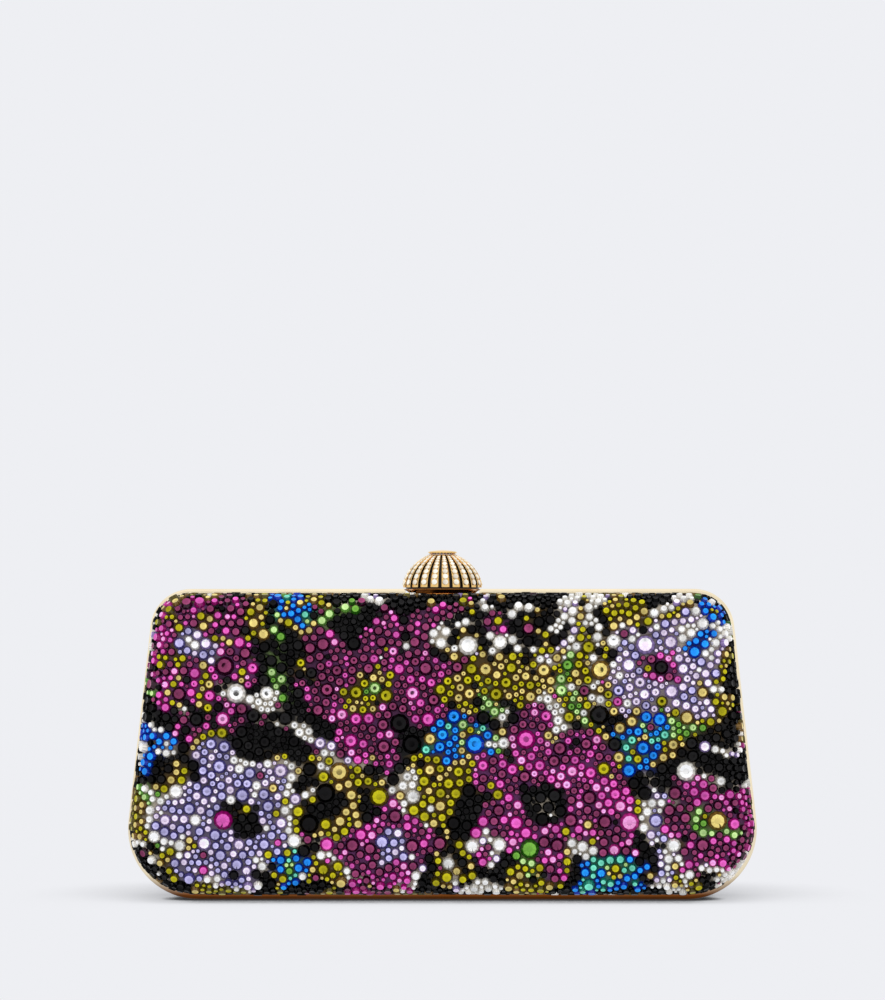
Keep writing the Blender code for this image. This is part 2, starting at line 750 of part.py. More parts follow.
def latch_hook(look, group):
    """The lever: a boss on its pin, an arm under the stem and a nose behind the strike's bar."""
    front = -(STRIKE_PLACE + STRIKE_THICK / 2 + SEAT_GAP)
    nose_top = STRIKE_TOP + NOSE_OVERLAP
    points = [(front - NOSE_THICK, ARM_UNDER), (front, ARM_UNDER)]
    below = math.pi + math.asin((PIVOT_Z - ARM_UNDER) / BOSS_RADIUS)
    above = 3 * math.pi - math.asin(PIVOT_DROP / BOSS_RADIUS)
    for step in range(ROUND_SIDES + 1):
        turn = below + (above - below) * step / ROUND_SIDES
        points.append(
            (PIVOT_BACK + BOSS_RADIUS * math.cos(turn), PIVOT_Z + BOSS_RADIUS * math.sin(turn))
        )
    points += [
        (front, ARM_TOP),
        (front, nose_top),
        (front - NOSE_THICK / 3, nose_top),
        (front - NOSE_THICK, STRIKE_BOTTOM),
    ]
    hole = []
    for step in range(ROUND_SIDES):
        turn = 2 * math.pi * step / ROUND_SIDES
        bore = HOOK_PIN_RADIUS + RUN_GAP
        hole.append((PIVOT_BACK + bore * math.cos(turn), PIVOT_Z + bore * math.sin(turn)))
    made = plate("latch_hook", [points, hole], -HOOK_HALF, HOOK_HALF, "X", group)
    return finish(made, look)


def screw(name, place, seat, group, helpers, look):
    """A slotted pan-head screw driven upwards, its head under the seat."""
    head_top = seat - RUN_GAP
    head_under = head_top - SCREW_HEAD_HEIGHT
    top = head_top + SCREW_LENGTH
    profile = [
        (0.0, top),
        (SCREW_RADIUS * 0.6, top),
        (SCREW_RADIUS, top - SCREW_RADIUS * 0.5),
        (SCREW_RADIUS, head_top),
        (SCREW_HEAD_RADIUS, head_top),
        (SCREW_HEAD_RADIUS, head_under + SCREW_HEAD_HEIGHT * 0.4),
        (SCREW_HEAD_RADIUS * 0.75, head_under),
        (0.0, head_under),
    ]
    made = turned(name, profile, ROUND_SIDES, group, place)
    slot = SCREW_HEAD_HEIGHT * 0.25
    low = (place[0] - SCREW_HEAD_RADIUS * 1.2, place[1] - slot / 2, head_under - CUT_OVER)
    high = (place[0] + SCREW_HEAD_RADIUS * 1.2, place[1] + slot / 2, head_under + slot)
    cut(made, box(name + "_slot", low, high, helpers))
    return finish(made, look)


def hinge_leaf(name, side, centre, spans, look, group, helpers):
    """A leaf: a plate let into the frame's parting face, with the knuckles that it carries."""
    near = side * HALF_GAP
    far = side * (HALF_GAP + LEAF_THICK)
    depths = sorted((near, far))
    half = HINGE_LENGTH / 2
    made = box(
        name,
        (centre - half, depths[0], LEAF_BOTTOM),
        (centre + half, depths[1], LEAF_TOP),
        group,
    )
    web_low = HINGE_RISE + HINGE_PIN_RADIUS + RUN_GAP + KNUCKLE_WALL / 4
    for at, (start, end) in enumerate(spans):
        web = box(
            f"{name}_web_{at}",
            (centre + start, depths[0], web_low),
            (centre + end, depths[1], LEAF_BOTTOM + JOIN_OVER),
            helpers,
        )
        join(made, web)
        barrel = rod(
            f"{name}_barrel_{at}",
            KNUCKLE_RADIUS,
            centre + start - JOIN_OVER / 4,
            centre + end + JOIN_OVER / 4,
            (0.0, HINGE_RISE),
            "X",
            helpers,
        )
        join(made, barrel)
    reach = half + CUT_OVER
    bore = HINGE_PIN_RADIUS + RUN_GAP
    hole = rod(name + "_bore", bore, centre - reach, centre + reach, (0.0, HINGE_RISE), "X", helpers)
    cut(made, hole)
    return finish(made, look)


def hinge_spans():
    """Where the knuckles lie along a hinge: the middle one is the front leaf's, the outer two the back's."""
    third = HINGE_LENGTH / 6
    half = HINGE_LENGTH / 2
    gap = SEAT_GAP / 2 + JOIN_OVER / 4
    front = [(-third + gap, third - gap)]
    back = [(-half + gap, -third - gap), (third + gap, half - gap)]
    return front, back


def cut_frame(made, side, helpers):
    """Cuts a frame for the hinges, the knob's well, the bush and the latch screws."""
    name = made.name
    reach = CASE_WIDTH / 2 + CUT_OVER
    apex = HINGE_RISE + HALF_GAP
    drop = 2 * CUT_OVER
    seam = plate(
        name + "_seam_bevel",
        [[(0.0, apex), (-apex - drop, -drop), (apex + drop, -drop)]],
        -reach,
        reach,
        "X",
        helpers,
    )
    cut(made, seam)
    half = HINGE_LENGTH / 2 + SEAT_GAP
    for place, centre in (("left", -HINGE_PLACE), ("right", HINGE_PLACE)):
        pocket = KNUCKLE_RADIUS + SEAT_GAP
        barrel = rod(
            f"{name}_barrel_pocket_{place}",
            pocket,
            centre - half,
            centre + half,
            (0.0, HINGE_RISE),
            "X",
            helpers,
        )
        cut(made, barrel)
        mortise_depth = side * (HALF_GAP + LEAF_THICK + SEAT_GAP)
        depths = sorted((-side * CUT_OVER, mortise_depth))
        mortise = box(
            f"{name}_mortise_{place}",
            (centre - half, depths[0], HINGE_RISE),
            (centre + half, depths[1], FRAME_WIDTH + CUT_OVER / 2),
            helpers,
        )
        cut(made, mortise)
        hole = SCREW_RADIUS + RUN_GAP
        across = math.copysign(SCREW_PLACE, centre)
        low = BAR_UNDER - CUT_OVER / 2
        seat = PLATE_UNDER if side == BACK else PLATE_TOP - STRIKE_THICK
        high = seat + SCREW_LENGTH + SEAT_GAP
        spot = (across, side * BAR_MIDDLE)
        cut(made, rod(f"{name}_screw_hole_{place}", hole, low, high, spot, "Z", helpers))
    high = CASE_HEIGHT + CUT_OVER
    well = turned(
        name + "_well",
        [(0.0, high), (WELL_RADIUS, high), (WELL_RADIUS, WELL_FLOOR), (0.0, WELL_FLOOR)],
        RIB_SIDES,
        helpers,
    )
    cut(made, well)
    notch = BUSH_RADIUS + SEAT_GAP
    low = BAR_UNDER - CUT_OVER / 2
    cut(made, rod(name + "_bush_notch", notch, low, high, (0.0, 0.0), "Z", helpers))


def scatter(number):
    """A share from 0 to 1 that looks random and stays the same for a number."""
    return math.sin(number * 12.9898) * 43758.5453 % 1.0


def edge_distance(x, z):
    """How far a place lies inside the case outline."""
    for radius, centre_z, start, end in (
        (TOP_CORNER, CASE_HEIGHT - TOP_CORNER, SIDE_LEAN, math.pi / 2),
        (BOTTOM_CORNER, BOTTOM_CORNER, -math.pi / 2, SIDE_LEAN),
    ):
        across = abs(x) - side_point(radius, centre_z)
        up = z - centre_z
        if start <= math.atan2(up, across) <= end:
            return radius - math.hypot(across, up)
    side = SIDE_REACH - abs(x) * math.cos(SIDE_LEAN) - z * math.sin(SIDE_LEAN)
    return min(side, z, CASE_HEIGHT - z)


def main_stones():
    """The main stones of a face as (x, z, radius, turn), in staggered rows, each a little out of line."""
    stones = []
    step = MAIN_STONE_PITCH * math.sqrt(0.75)
    rows = math.ceil(CASE_MIDDLE / step)
    columns = math.ceil(CASE_WIDTH / MAIN_STONE_PITCH / 2)
    for row in range(-rows, rows + 1):
        for column in range(-columns, columns + 1):
            number = 101 * row + column
            heading = 2 * math.pi * scatter(number + 0.3)
            away = MAIN_STONE_STRAY * scatter(number + 0.6)
            x = (column + row % 2 / 2) * MAIN_STONE_PITCH + away * math.cos(heading)
            z = CASE_MIDDLE + row * step + away * math.sin(heading)
            kind = scatter(number + 0.9)
            radius = next(width for share, width in MAIN_STONE_KINDS if kind < share) / 2
            if edge_distance(x, z) >= FRAME_PROUD + EDGE_ROUND + radius:
                stones.append((x, z, radius, heading))
    return stones


def set_main_stones(made, side, helpers):
    """Joins the main stones to the skin of small ones, each square to the facet that it lies on."""
    bpy.context.view_layer.update()
    skin = BVHTree.FromObject(made, bpy.context.evaluated_depsgraph_get())
    shape = bmesh.new()
    for x, z, radius, heading in main_stones():
        spot, normal, _, _ = skin.ray_cast((x, side * CASE_DEPTH, z), (0.0, -side, 0.0))
        low = -SKIN_THICK / 2
        high = MAIN_STONE_LIFT + MAIN_STONE_RISE * radius - SMALL_STONE_HEIGHT
        facing = normal.to_track_quat("Z", "Y").to_matrix().to_4x4()
        place = Matrix.Translation(spot + normal * (low + high) / 2) @ facing
        bmesh.ops.create_cone(
            shape,
            cap_ends=True,
            segments=STONE_SIDES,
            radius1=radius,
            radius2=radius * MAIN_STONE_TABLE,
            depth=high - low,
            matrix=place @ Matrix.Rotation(heading, 4, "Z"),
        )
    join(made, object_from(made.name + "_main_stones", shape, helpers))


def cut_stones(made, helpers):
    """Leaves the stones out below the knob's rim."""
    high = CASE_HEIGHT + CUT_OVER
    low = STONES_UNDER - GLUE_GAP / 2
    profile = [(0.0, high), (WELL_RADIUS, high), (WELL_RADIUS, low), (0.0, low)]
    cut(made, turned(made.name + "_well", profile, RIB_SIDES, helpers))


def cut_screw_holes(made, side, seat, helpers):
    """Cuts the two screw holes of a latch piece."""
    hole = SCREW_RADIUS + RUN_GAP
    for name, across in (("left", -SCREW_PLACE), ("right", SCREW_PLACE)):
        spot = (across, side * BAR_MIDDLE)
        helper = f"{made.name}_hole_{name}"
        cut(made, rod(helper, hole, seat - CUT_OVER, seat + 2 * CUT_OVER, spot, "Z", helpers))


def half_case(word, side, looks, group, helpers):
    """The layers and the frame of one half, as a list of objects."""
    made_frame = frame(word + "_frame", side, looks["gilt"], group)
    cut_frame(made_frame, side, helpers)
    pave = tray(
        word + "_pave", side, SKIN_AT, SKIN_AT, TRAY_RIM, SKIN_THICK, looks["crystal"], group
    )
    set_main_stones(pave, side, helpers)
    cut_stones(pave, helpers)
    cover = tray(
        word + "_cover", side, COVER_AT, COVER_AT, TRAY_RIM, COVER_THICK, looks["cloth"], group
    )
    shell = tray(
        word + "_shell", side, SHELL_AT, SHELL_AT, TRAY_RIM, SHELL_WALL, looks["shell"], group
    )
    lining = tray(
        word + "_lining",
        side,
        LINING_AT,
        LINING_FLOOR_AT,
        FRAME_FACE,
        LINING_THICK,
        looks["lining"],
        group,
    )
    return [made_frame, pave, cover, shell, lining]


def pivot(name, place, group):
    """An empty on a joint's axis."""
    made = bpy.data.objects.new(name, None)
    made.location = place
    made.empty_display_size = 0.01
    group.objects.link(made)
    return made


def make_looks():
    """The materials by a short name."""
    return {
        "gilt": material("gilt_metal", (0.83, 0.62, 0.28), 0.16, 1.0),
        "crystal": material("crystal_stones", (0.36, 0.10, 0.34), 0.10),
        "cloth": material("printed_cloth", (0.16, 0.10, 0.17), 0.75),
        "shell": material("moulded_shell", (0.10, 0.10, 0.11), 0.45),
        "lining": material("suede_lining", (0.62, 0.52, 0.40), 0.85),
        "enamel": material("black_enamel", (0.012, 0.012, 0.014), 0.12),
        "steel": material("bright_steel", (0.66, 0.66, 0.68), 0.25, 1.0),
    }


def main():
    """Builds the clutch."""
    for old in list(bpy.data.objects):
        bpy.data.objects.remove(old)
    looks = make_looks()
    group = collection("clutch")
    helpers = collection("cutters", hidden=True)

    half_case("back", BACK, looks, group, helpers)
    front = half_case("front", FRONT, looks, group, helpers)
    closing_lip("closing_lip_left", -1, looks["gilt"], group)
    closing_lip("closing_lip_right", 1, looks["gilt"], group)

    front_spans, back_spans = hinge_spans()
    half = HINGE_LENGTH / 2
    for word, centre in (("left", -HINGE_PLACE), ("right", HINGE_PLACE)):
        name = "hinge_leaf_back_" + word
        hinge_leaf(name, BACK, centre, back_spans, looks["gilt"], group, helpers)
        name = "hinge_leaf_front_" + word
        leaf = hinge_leaf(name, FRONT, centre, front_spans, looks["gilt"], group, helpers)
        front.append(leaf)
        ends = (centre - half, centre + half)
        pin = rod("hinge_pin_" + word, HINGE_PIN_RADIUS, *ends, (0.0, HINGE_RISE), "X", group)
        finish(pin, looks["steel"])

    bracket = latch_bracket(looks["steel"], group, helpers)
    cut_screw_holes(bracket, BACK, PLATE_UNDER, helpers)
    stem_bush(looks["gilt"], group)
    reach = CHEEK_OUTER + SEAT_GAP
    place = (PIVOT_BACK, PIVOT_Z)
    finish(rod("hook_pin", HOOK_PIN_RADIUS, -reach, reach, place, "X", group), looks["steel"])
    hook_coil = COIL_RADIUS - STEM_RADIUS + 2 * SPRING_WIRE
    low = BRACKET_FLOOR + SEAT_GAP
    high = ARM_UNDER - SEAT_GAP
    coil = wire_coil("hook_spring", hook_coil, low, high, HOOK_SPRING_TURNS, (0.0, 0.0), group)
    coil.data.materials.append(looks["steel"])
    low = BUSH_TOP + SEAT_GAP
    high = collar_top() - COLLAR_THICK - SEAT_GAP
    coil = wire_coil("knob_spring", COIL_RADIUS, low, high, KNOB_SPRING_TURNS, (0.0, 0.0), group)
    coil.data.materials.append(looks["steel"])

    strike = strike_plate(looks["steel"], group, helpers)
    strike_seat = PLATE_TOP - STRIKE_THICK
    cut_screw_holes(strike, FRONT, strike_seat, helpers)
    front.append(strike)
    for word, across in (("left", -SCREW_PLACE), ("right", SCREW_PLACE)):
        spot = (across, BAR_MIDDLE)
        screw("bracket_screw_" + word, spot, PLATE_UNDER, group, helpers, looks["steel"])
        spot = (across, -BAR_MIDDLE)
        name = "strike_screw_" + word
        front.append(screw(name, spot, strike_seat, group, helpers, looks["steel"]))

    knob = [
        knob_base(looks["gilt"], group),
        knob_core(looks["enamel"], group),
        knob_ribs(looks["gilt"], group, helpers),
        knob_cap(looks["gilt"], group),
        knob_stem(looks["steel"], group),
        stem_clip(looks["steel"], group, helpers),
    ]
    hook = latch_hook(looks["steel"], group)

    case_pivot = pivot("case_hinge", (0.0, 0.0, HINGE_RISE), group)
    for made in front:
        hang(made, case_pivot)
    knob_pivot = pivot("knob_press", (0.0, 0.0, CASE_HEIGHT), group)
    for made in knob:
        hang(made, knob_pivot)
    hang(hook, pivot("hook_pivot", (0.0, PIVOT_BACK, PIVOT_Z), group))


main()
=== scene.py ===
import itertools
import json
import math

import bmesh
import bpy
import numpy as np
from mathutils import Euler, Matrix, Vector
from mathutils.kdtree import KDTree


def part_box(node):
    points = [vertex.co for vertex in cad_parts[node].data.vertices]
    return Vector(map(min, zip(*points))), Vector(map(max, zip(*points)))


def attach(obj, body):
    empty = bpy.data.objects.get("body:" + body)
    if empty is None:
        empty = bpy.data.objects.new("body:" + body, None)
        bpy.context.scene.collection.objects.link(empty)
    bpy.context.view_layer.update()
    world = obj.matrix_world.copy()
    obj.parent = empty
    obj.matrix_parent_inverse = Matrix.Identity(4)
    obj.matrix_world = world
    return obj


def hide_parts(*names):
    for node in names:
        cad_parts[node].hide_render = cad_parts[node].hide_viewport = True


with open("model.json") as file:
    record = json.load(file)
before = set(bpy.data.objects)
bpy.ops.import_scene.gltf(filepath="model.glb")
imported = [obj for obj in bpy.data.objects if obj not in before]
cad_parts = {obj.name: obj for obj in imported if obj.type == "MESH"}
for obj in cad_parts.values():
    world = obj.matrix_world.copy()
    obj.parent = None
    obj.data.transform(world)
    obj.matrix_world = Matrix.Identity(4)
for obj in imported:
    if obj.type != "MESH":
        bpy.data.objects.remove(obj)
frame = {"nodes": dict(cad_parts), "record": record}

bl_info = {
    "name": "Crystal evening clutch",
    "version": (1, 0, 0),
    "blender": (4, 5, 0),
    "location": "View3D > Sidebar > Clutch",
    "description": "Dresses the packed model of a hard-case evening clutch",
    "category": "Object",
}

FRONT = -1
BACK = 1
HALVES = (("back", BACK), ("front", FRONT))

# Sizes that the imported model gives
CASE_LOW, CASE_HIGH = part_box("back_frame")
CASE_WIDTH = CASE_HIGH.x - CASE_LOW.x
CASE_HEIGHT = CASE_HIGH.z - CASE_LOW.z
CASE_MIDDLE = CASE_HEIGHT / 2

# Sizes of the solids, in metres
SIDE_LEAN = math.radians(6.45)
TOP_CORNER = 0.013
BOTTOM_CORNER = 0.0225
EDGE_ROUND = 0.007
CROWN = 0.0025
HALF_GAP = 0.00015
FRAME_FACE = 0.00515
FRAME_PROUD = 0.00135
FRAME_WIDTH = 0.00615
FRAME_CHAMFER = 0.00035
SPIGOT_AT = 0.0038
SPIGOT_LENGTH = 0.004
TRAY_RIM = 0.00545
COVER_AT = 0.0013
FLAT_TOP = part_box("back_cover")[1].y - CROWN + COVER_AT
COVER_THICK = 0.0004
LINING_AT = 0.005
LINING_FLOOR_AT = 0.0037
LINING_THICK = 0.0007
LEAST_ROUND = 0.0009
MAIN_STONE_PITCH = 0.0092
MAIN_STONE_STRAY = 0.0017
MAIN_STONE_KINDS = ((0.08, 0.0064), (0.50, 0.0047), (1.0, 0.0039))
STONE_LIFT = 0.0004
STONE_RISE = 0.45
WALL_LIFT = 0.0009
TABLE_SHARE = 0.68
STONE_FACETS = 10
INNER_DISC = 0.46
LARGEST_RADIUS = MAIN_STONE_KINDS[0][1] / 2
SIDE_REACH = (
    (CASE_WIDTH / 2 - BOTTOM_CORNER) * math.cos(SIDE_LEAN)
    + BOTTOM_CORNER * math.sin(SIDE_LEAN)
    + BOTTOM_CORNER
)

# Detail of a tray: steps of its outline, of its edge and of its wall, and rings of its face
CLOTH_DETAIL = ((12, 34, 22, 30), 7, 3, 30)
LINING_DETAIL = ((12, 10, 8, 10), 6, 3, 10)

# How a stone is set: stray of its colour, tilt, depth in the glue, and where the crown starts to turn it
COLOUR_STRAY = 0.0005
SETTING_TILT = 0.009
SETTING_SINK = 0.00004
LEVEL_FROM = 0.07
LEVEL_SPAN = 0.02
FACE_NORMAL = 0.97
TOP_WALL_SHARE = 0.7

HINGE_RISE = 0.0022
HINGE_PLACE = 0.052
HINGE_HALF = 0.0123
KNUCKLE_POCKET = 0.0017
MORTISE_DEPTH = 0.00135
SCREW_PLACE = 0.0085
SCREW_HOLE = 0.0009
BAR_MIDDLE = 0.00265
BUSH_NOTCH = 0.0028
PLATE_UNDER = 0.09105
STRIKE_SEAT = 0.09145
SCREW_LENGTH = 0.0045
WELL_FLOOR = 0.09605
WELL_RADIUS = 0.0129
CUT_OVER = 0.002
FLOOR_LEAN = math.radians(4.6)

KNOB_RADIUS = 0.0126
FLANGE_TOP = 0.09862
RIB_FOOT = 0.09918
SKIRT_BOTTOM = 0.09735
SKIRT_TAPER = 0.0021
KNOB_TRAVEL = 0.001
COLLAR_RADIUS = 0.00975
COLLAR_WALL = 0.0011
COLLAR_PLAY = 0.00015
GROOVE_TOP = 0.09844
DOME_BASE = 0.09945
DOME_RADIUS = 0.0125
DOME_HEIGHT = 0.01115
DOME_POWER = 1.75
CORE_INSET = 0.0008
CORE_WALL = 0.0012
CORE_HOLE = 0.0017
FLANGE_HOLE = 0.0028
RIM_SOFT = 0.00009
SKIRT_HOLLOW = 0.00016
CAP_RADIUS = 0.0046
CAP_SEAT_RADIUS = 0.0036
CAP_RISE = 0.0006
CAP_SOFT = 0.00024
CAP_BEND = 0.00022
CAP_TAPER = 0.0005

# Section of a knob's rib: share of its half width and depth in it
RIB_DEPTH = 0.0006
RIB_STEPS = 26
RIB_SECTION = (
    (-1.0, 0.00055),
    (-1.0, 0.00005),
    (-0.95, 0.0),
    (-0.87, 0.0),
    (-0.82, 0.00022),
    (0.0, 0.00024),
    (0.82, 0.00022),
    (0.87, 0.0),
    (0.95, 0.0),
    (1.0, 0.00005),
    (1.0, 0.00055),
)
RIB_FLOOR = 0.00022
RIB_STONE_START = 0.00035
RIB_STONE_SHARE = 0.78
RIB_STONE_RISE = 0.22
RIB_STONE_STEP = 0.01
RIB_STONE_END = 0.02
RIB_STONE_FACETS = 12
RIB_STONE_TABLE = 0.93
RIB_SEED = 3

# The camera, with the picture row of the case's middle
CAMERA_AWAY = 3.2
CAMERA_HEIGHT = 0.060
CAMERA_TURN = math.radians(1.5)
PICTURE_HEIGHT = 1000
PIXELS_A_METRE = 3140.0
CASE_MIDDLE_ROW = 744.0

# Brightness of the light tent by height, and its dark rounds: rise, outer and inner angle, brightness
TENT_LEVELS = ((0.0, 0.30), (0.42, 0.42), (0.5, 0.92), (0.62, 1.0), (0.78, 0.86), (1.0, 1.12))
TENT_ROUNDS = ((-0.5, 3.4, 2.6, 0.34), (4.2, 2.3, 1.9, 0.004))

# Shadows on the floor, a wide and a narrow one: reach, least, strength, lean
FLOOR_SHADOWS = ((0.045, 0.06, 0.75, -1.3), (0.004, 0.08, 1.4, -0.3))

# Soft boxes: name, place, size and power
LAMPS = (
    ("left_softbox", (-0.9, -0.7, 0.55), 0.5, 5.0),
    ("right_softbox", (0.95, -0.6, 0.5), 0.5, 4.0),
    ("top_softbox", (0.1, -0.15, 1.1), 0.7, 5.0),
)
LAMP_AIM = Vector((0.0, 0.0, 0.05))


def srgb(red, green, blue):
    """A screen colour, 0 to 255, as linear values."""
    shares = (red / 255, green / 255, blue / 255)
    return tuple(s / 12.92 if s <= 0.04045 else ((s + 0.055) / 1.055) ** 2.4 for s in shares)


# Crystal colours: table, facets; the facets are a painted shade, darker copies of the table's colour
CRYSTALS = {
    "fuchsia": (srgb(222, 92, 184), srgb(132, 6, 92)),
    "pink": (srgb(250, 164, 226), srgb(170, 38, 124)),
    "plum": (srgb(138, 56, 98), srgb(32, 2, 20)),
    "lilac": (srgb(184, 178, 224), srgb(66, 60, 114)),
    "mauve": (srgb(238, 222, 248), srgb(124, 106, 152)),
    "jet": (srgb(11, 10, 11), srgb(2, 2, 2)),
    "olive": (srgb(180, 172, 16), srgb(72, 62, 2)),
    "khaki": (srgb(216, 196, 116), srgb(98, 72, 26)),
    "clear": (srgb(244, 244, 242), srgb(200, 197, 190)),
    "green": (srgb(106, 162, 60), srgb(30, 76, 12)),
    "mint": (srgb(188, 224, 146), srgb(88, 138, 54)),
    "aqua": (srgb(116, 222, 192), srgb(20, 112, 92)),
    "blue": (srgb(30, 146, 250), srgb(0, 40, 150)),
    "brilliant": (srgb(246, 238, 222), srgb(222, 202, 164)),
}

# Groups of crystals set together, with the colour of the cloth beneath them: its print, painted darker as
# shade between stones
GROUPS = {
    "rose": ((("fuchsia", 0.44), ("plum", 0.42), ("pink", 0.14)), srgb(86, 36, 84)),
    "plum": ((("plum", 0.64), ("fuchsia", 0.26), ("pink", 0.10)), srgb(66, 28, 62)),
    "lilac": ((("lilac", 0.70), ("mauve", 0.30)), srgb(92, 84, 104)),
    "mauve": ((("mauve", 0.74), ("lilac", 0.16), ("clear", 0.10)), srgb(128, 116, 118)),
    "olive": ((("olive", 0.52), ("khaki", 0.42), ("jet", 0.06)), srgb(66, 50, 18)),
    "jet": ((("jet", 1.0),), srgb(8, 7, 7)),
    "clear": ((("clear", 0.93), ("mauve", 0.07)), srgb(158, 148, 132)),
    "green": ((("mint", 0.62), ("green", 0.38)), srgb(84, 104, 56)),
    "blue": ((("blue", 1.0),), srgb(10, 32, 96)),
    "aqua": ((("aqua", 0.9), ("mint", 0.1)), srgb(44, 98, 82)),
}
GROUP_NAMES = tuple(GROUPS)
STRAY_COLOURS = ("olive", "khaki", "clear", "plum", "jet", "fuchsia")
STRAY_SHARE = 0.04

# Flowers of the pattern in millimetres: place, reach, petals, turn, then petals, streaks, edge, heart, eye
FLOWERS = (
    (-66, 27, 25, 5, 0.4, "lilac", "mauve", "clear", "jet", "olive"),
    (-22, 66, 27, 7, 0.1, "plum", "rose", "jet", "olive", "green"),
    (33, 33, 28, 6, 1.1, "rose", "plum", "olive", "jet", "clear"),
    (69, 72, 22, 6, 0.6, "mauve", "lilac", "olive", "rose", "jet"),
    (-78, 78, 20, 7, 0.2, "rose", "olive", "jet", "lilac", "clear"),
    (88, 23, 19, 6, 0.9, "plum", "rose", "clear", "green", "olive"),
    (-17, 15, 18, 5, 0.7, "rose", "plum", "clear", "lilac", "aqua"),
    (19, 87, 15, 5, 0.3, "jet", "clear", "olive", "rose", "olive"),
    (6, 52, 9, 5, 0.3, "blue", "aqua", "blue", "olive", "jet"),
    (-45, 91, 8.5, 5, 1.0, "blue", "blue", "aqua", "olive", "jet"),
    (63, 51, 9.5, 5, 0.8, "blue", "aqua", "blue", "olive", "plum"),
    (-93, 50, 9, 5, 0.5, "blue", "blue", "clear", "olive", "jet"),
    (54, 7, 8, 5, 0.2, "blue", "aqua", "blue", "olive", "plum"),
    (84, 89, 8.5, 5, 0.7, "blue", "blue", "clear", "jet", "olive"),
    (-47, 8, 7.5, 5, 0.9, "blue", "aqua", "blue", "green", "jet"),
)

# Leaves: two ends, widest half, bend, blade, rib
LEAVES = (
    (-42, 2, -36, 40, 4.5, 6, "olive", "clear"),
    (6, 42, 12, 72, 5.0, -6, "green", "olive"),
    (52, 52, 40, 84, 4.5, 6, "olive", "green"),
    (62, 3, 66, 44, 4.5, -7, "lilac", "clear"),
    (-98, 44, -52, 58, 4.5, 5, "plum", "jet"),
    (-50, 90, -46, 58, 4.0, -5, "green", "jet"),
    (-4, 30, 8, 6, 4.0, 4, "olive", "jet"),
    (48, 98, 30, 74, 3.5, 3, "clear", "olive"),
    (14, 21, 32, 2, 3.5, 3, "green", "olive"),
    (-98, 92, -86, 62, 4.0, -3, "green", "clear"),
    (78, 98, 96, 72, 3.5, 4, "green", "jet"),
    (-96, 38, -84, 14, 4.0, 4, "green", "clear"),
    (-40, 84, -26, 96, 3.5, 3, "green", "olive"),
    (62, 60, 88, 54, 3.5, -3, "green", "olive"),
    (34, 8, 44, 20, 3.5, 2, "green", "clear"),
)

# Strings of pale crystals: two ends and bend
STRINGS = (
    (-54, 54, -38, 40, 6),
    (6, 50, 20, 60, -4),
    (-98, 16, -84, 5, 4),
    (38, 66, 46, 88, -5),
    (82, 46, 96, 54, -3),
    (-34, 97, -18, 92, 3),
    (-46, 30, -38, 14, -4),
    (8, 22, 16, 10, 3),
)
STRING_HALF = 1.1
ROW_RADII = (1.1, 1.55, 1.325, 0.9, 1.325)


# Shapes


def side_point(inset, height):
    """The x of the leaning side at a height, moved inwards."""
    return (SIDE_REACH - inset - height * math.sin(SIDE_LEAN)) / math.cos(SIDE_LEAN)


def outline(inset, corner_steps, bottom_steps=1, side_steps=1, top_steps=1):
    """The case outline moved inwards, as (x, z) points, anticlockwise from the bottom in front view."""
    low = max(BOTTOM_CORNER - inset, LEAST_ROUND)
    high = max(TOP_CORNER - inset, LEAST_ROUND)
    low_z = inset + low
    high_z = CASE_HEIGHT - inset - high
    low_x = side_point(inset + low, low_z)
    high_x = side_point(inset + high, high_z)
    right = [(low_x * at / bottom_steps, inset) for at in range(bottom_steps)]
    for at in range(corner_steps + 1):
        turn = -math.pi / 2 + (SIDE_LEAN + math.pi / 2) * at / corner_steps
        right.append((low_x + low * math.cos(turn), low_z + low * math.sin(turn)))
    start = right[-1]
    end = (high_x + high * math.cos(SIDE_LEAN), high_z + high * math.sin(SIDE_LEAN))
    for at in range(1, side_steps):
        share = at / side_steps
        right.append(tuple(a + (b - a) * share for a, b in zip(start, end)))
    for at in range(corner_steps + 1):
        turn = SIDE_LEAN + (math.pi / 2 - SIDE_LEAN) * at / corner_steps
        right.append((high_x + high * math.cos(turn), high_z + high * math.sin(turn)))
    for at in range(1, top_steps + 1):
        right.append((high_x * (1 - at / top_steps), CASE_HEIGHT - inset))
    return right + [(-x, z) for x, z in reversed(right[1:-1])]


def crown(x, z):
    """How far the crowned face stands out at a place."""
    across = 1 - (2 * x / CASE_WIDTH) ** 2
    up = 1 - (z / CASE_MIDDLE - 1) ** 2
    return CROWN * np.maximum(across, 0.0) * np.maximum(up, 0.0)


def tray_rings(wall_at, floor_at, rim, steps, edge_steps, wall_steps, face_rings):
    """Rings of (x, depth, z) from a tray's rim over its rounded edge to its crowned face."""
    radius = max(EDGE_ROUND - wall_at, LEAST_ROUND)
    arc_start = FLAT_TOP - floor_at - radius
    wall = FRAME_PROUD + wall_at
    rings = []
    for at in range(wall_steps):
        share = at / wall_steps
        ring = []
        for x, z in outline(wall, *steps):
            ring.append((x, rim + (arc_start + crown(x, z) - rim) * share, z))
        rings.append(ring)
    for at in range(edge_steps + 1):
        turn = math.pi / 2 * at / edge_steps
        inset = wall + radius * (1 - math.cos(turn))
        depth = arc_start + radius * math.sin(turn)
        rings.append([(x, depth + crown(x, z), z) for x, z in outline(inset, *steps)])
    edge = rings[-1]
    for at in range(1, face_rings):
        share = 1 - at / face_rings
        ring = []
        for x, _, z in edge:
            inner_x = x * share
            inner_z = CASE_MIDDLE + (z - CASE_MIDDLE) * share
            ring.append((inner_x, FLAT_TOP - floor_at + crown(inner_x, inner_z), inner_z))
        rings.append(ring)
    return rings


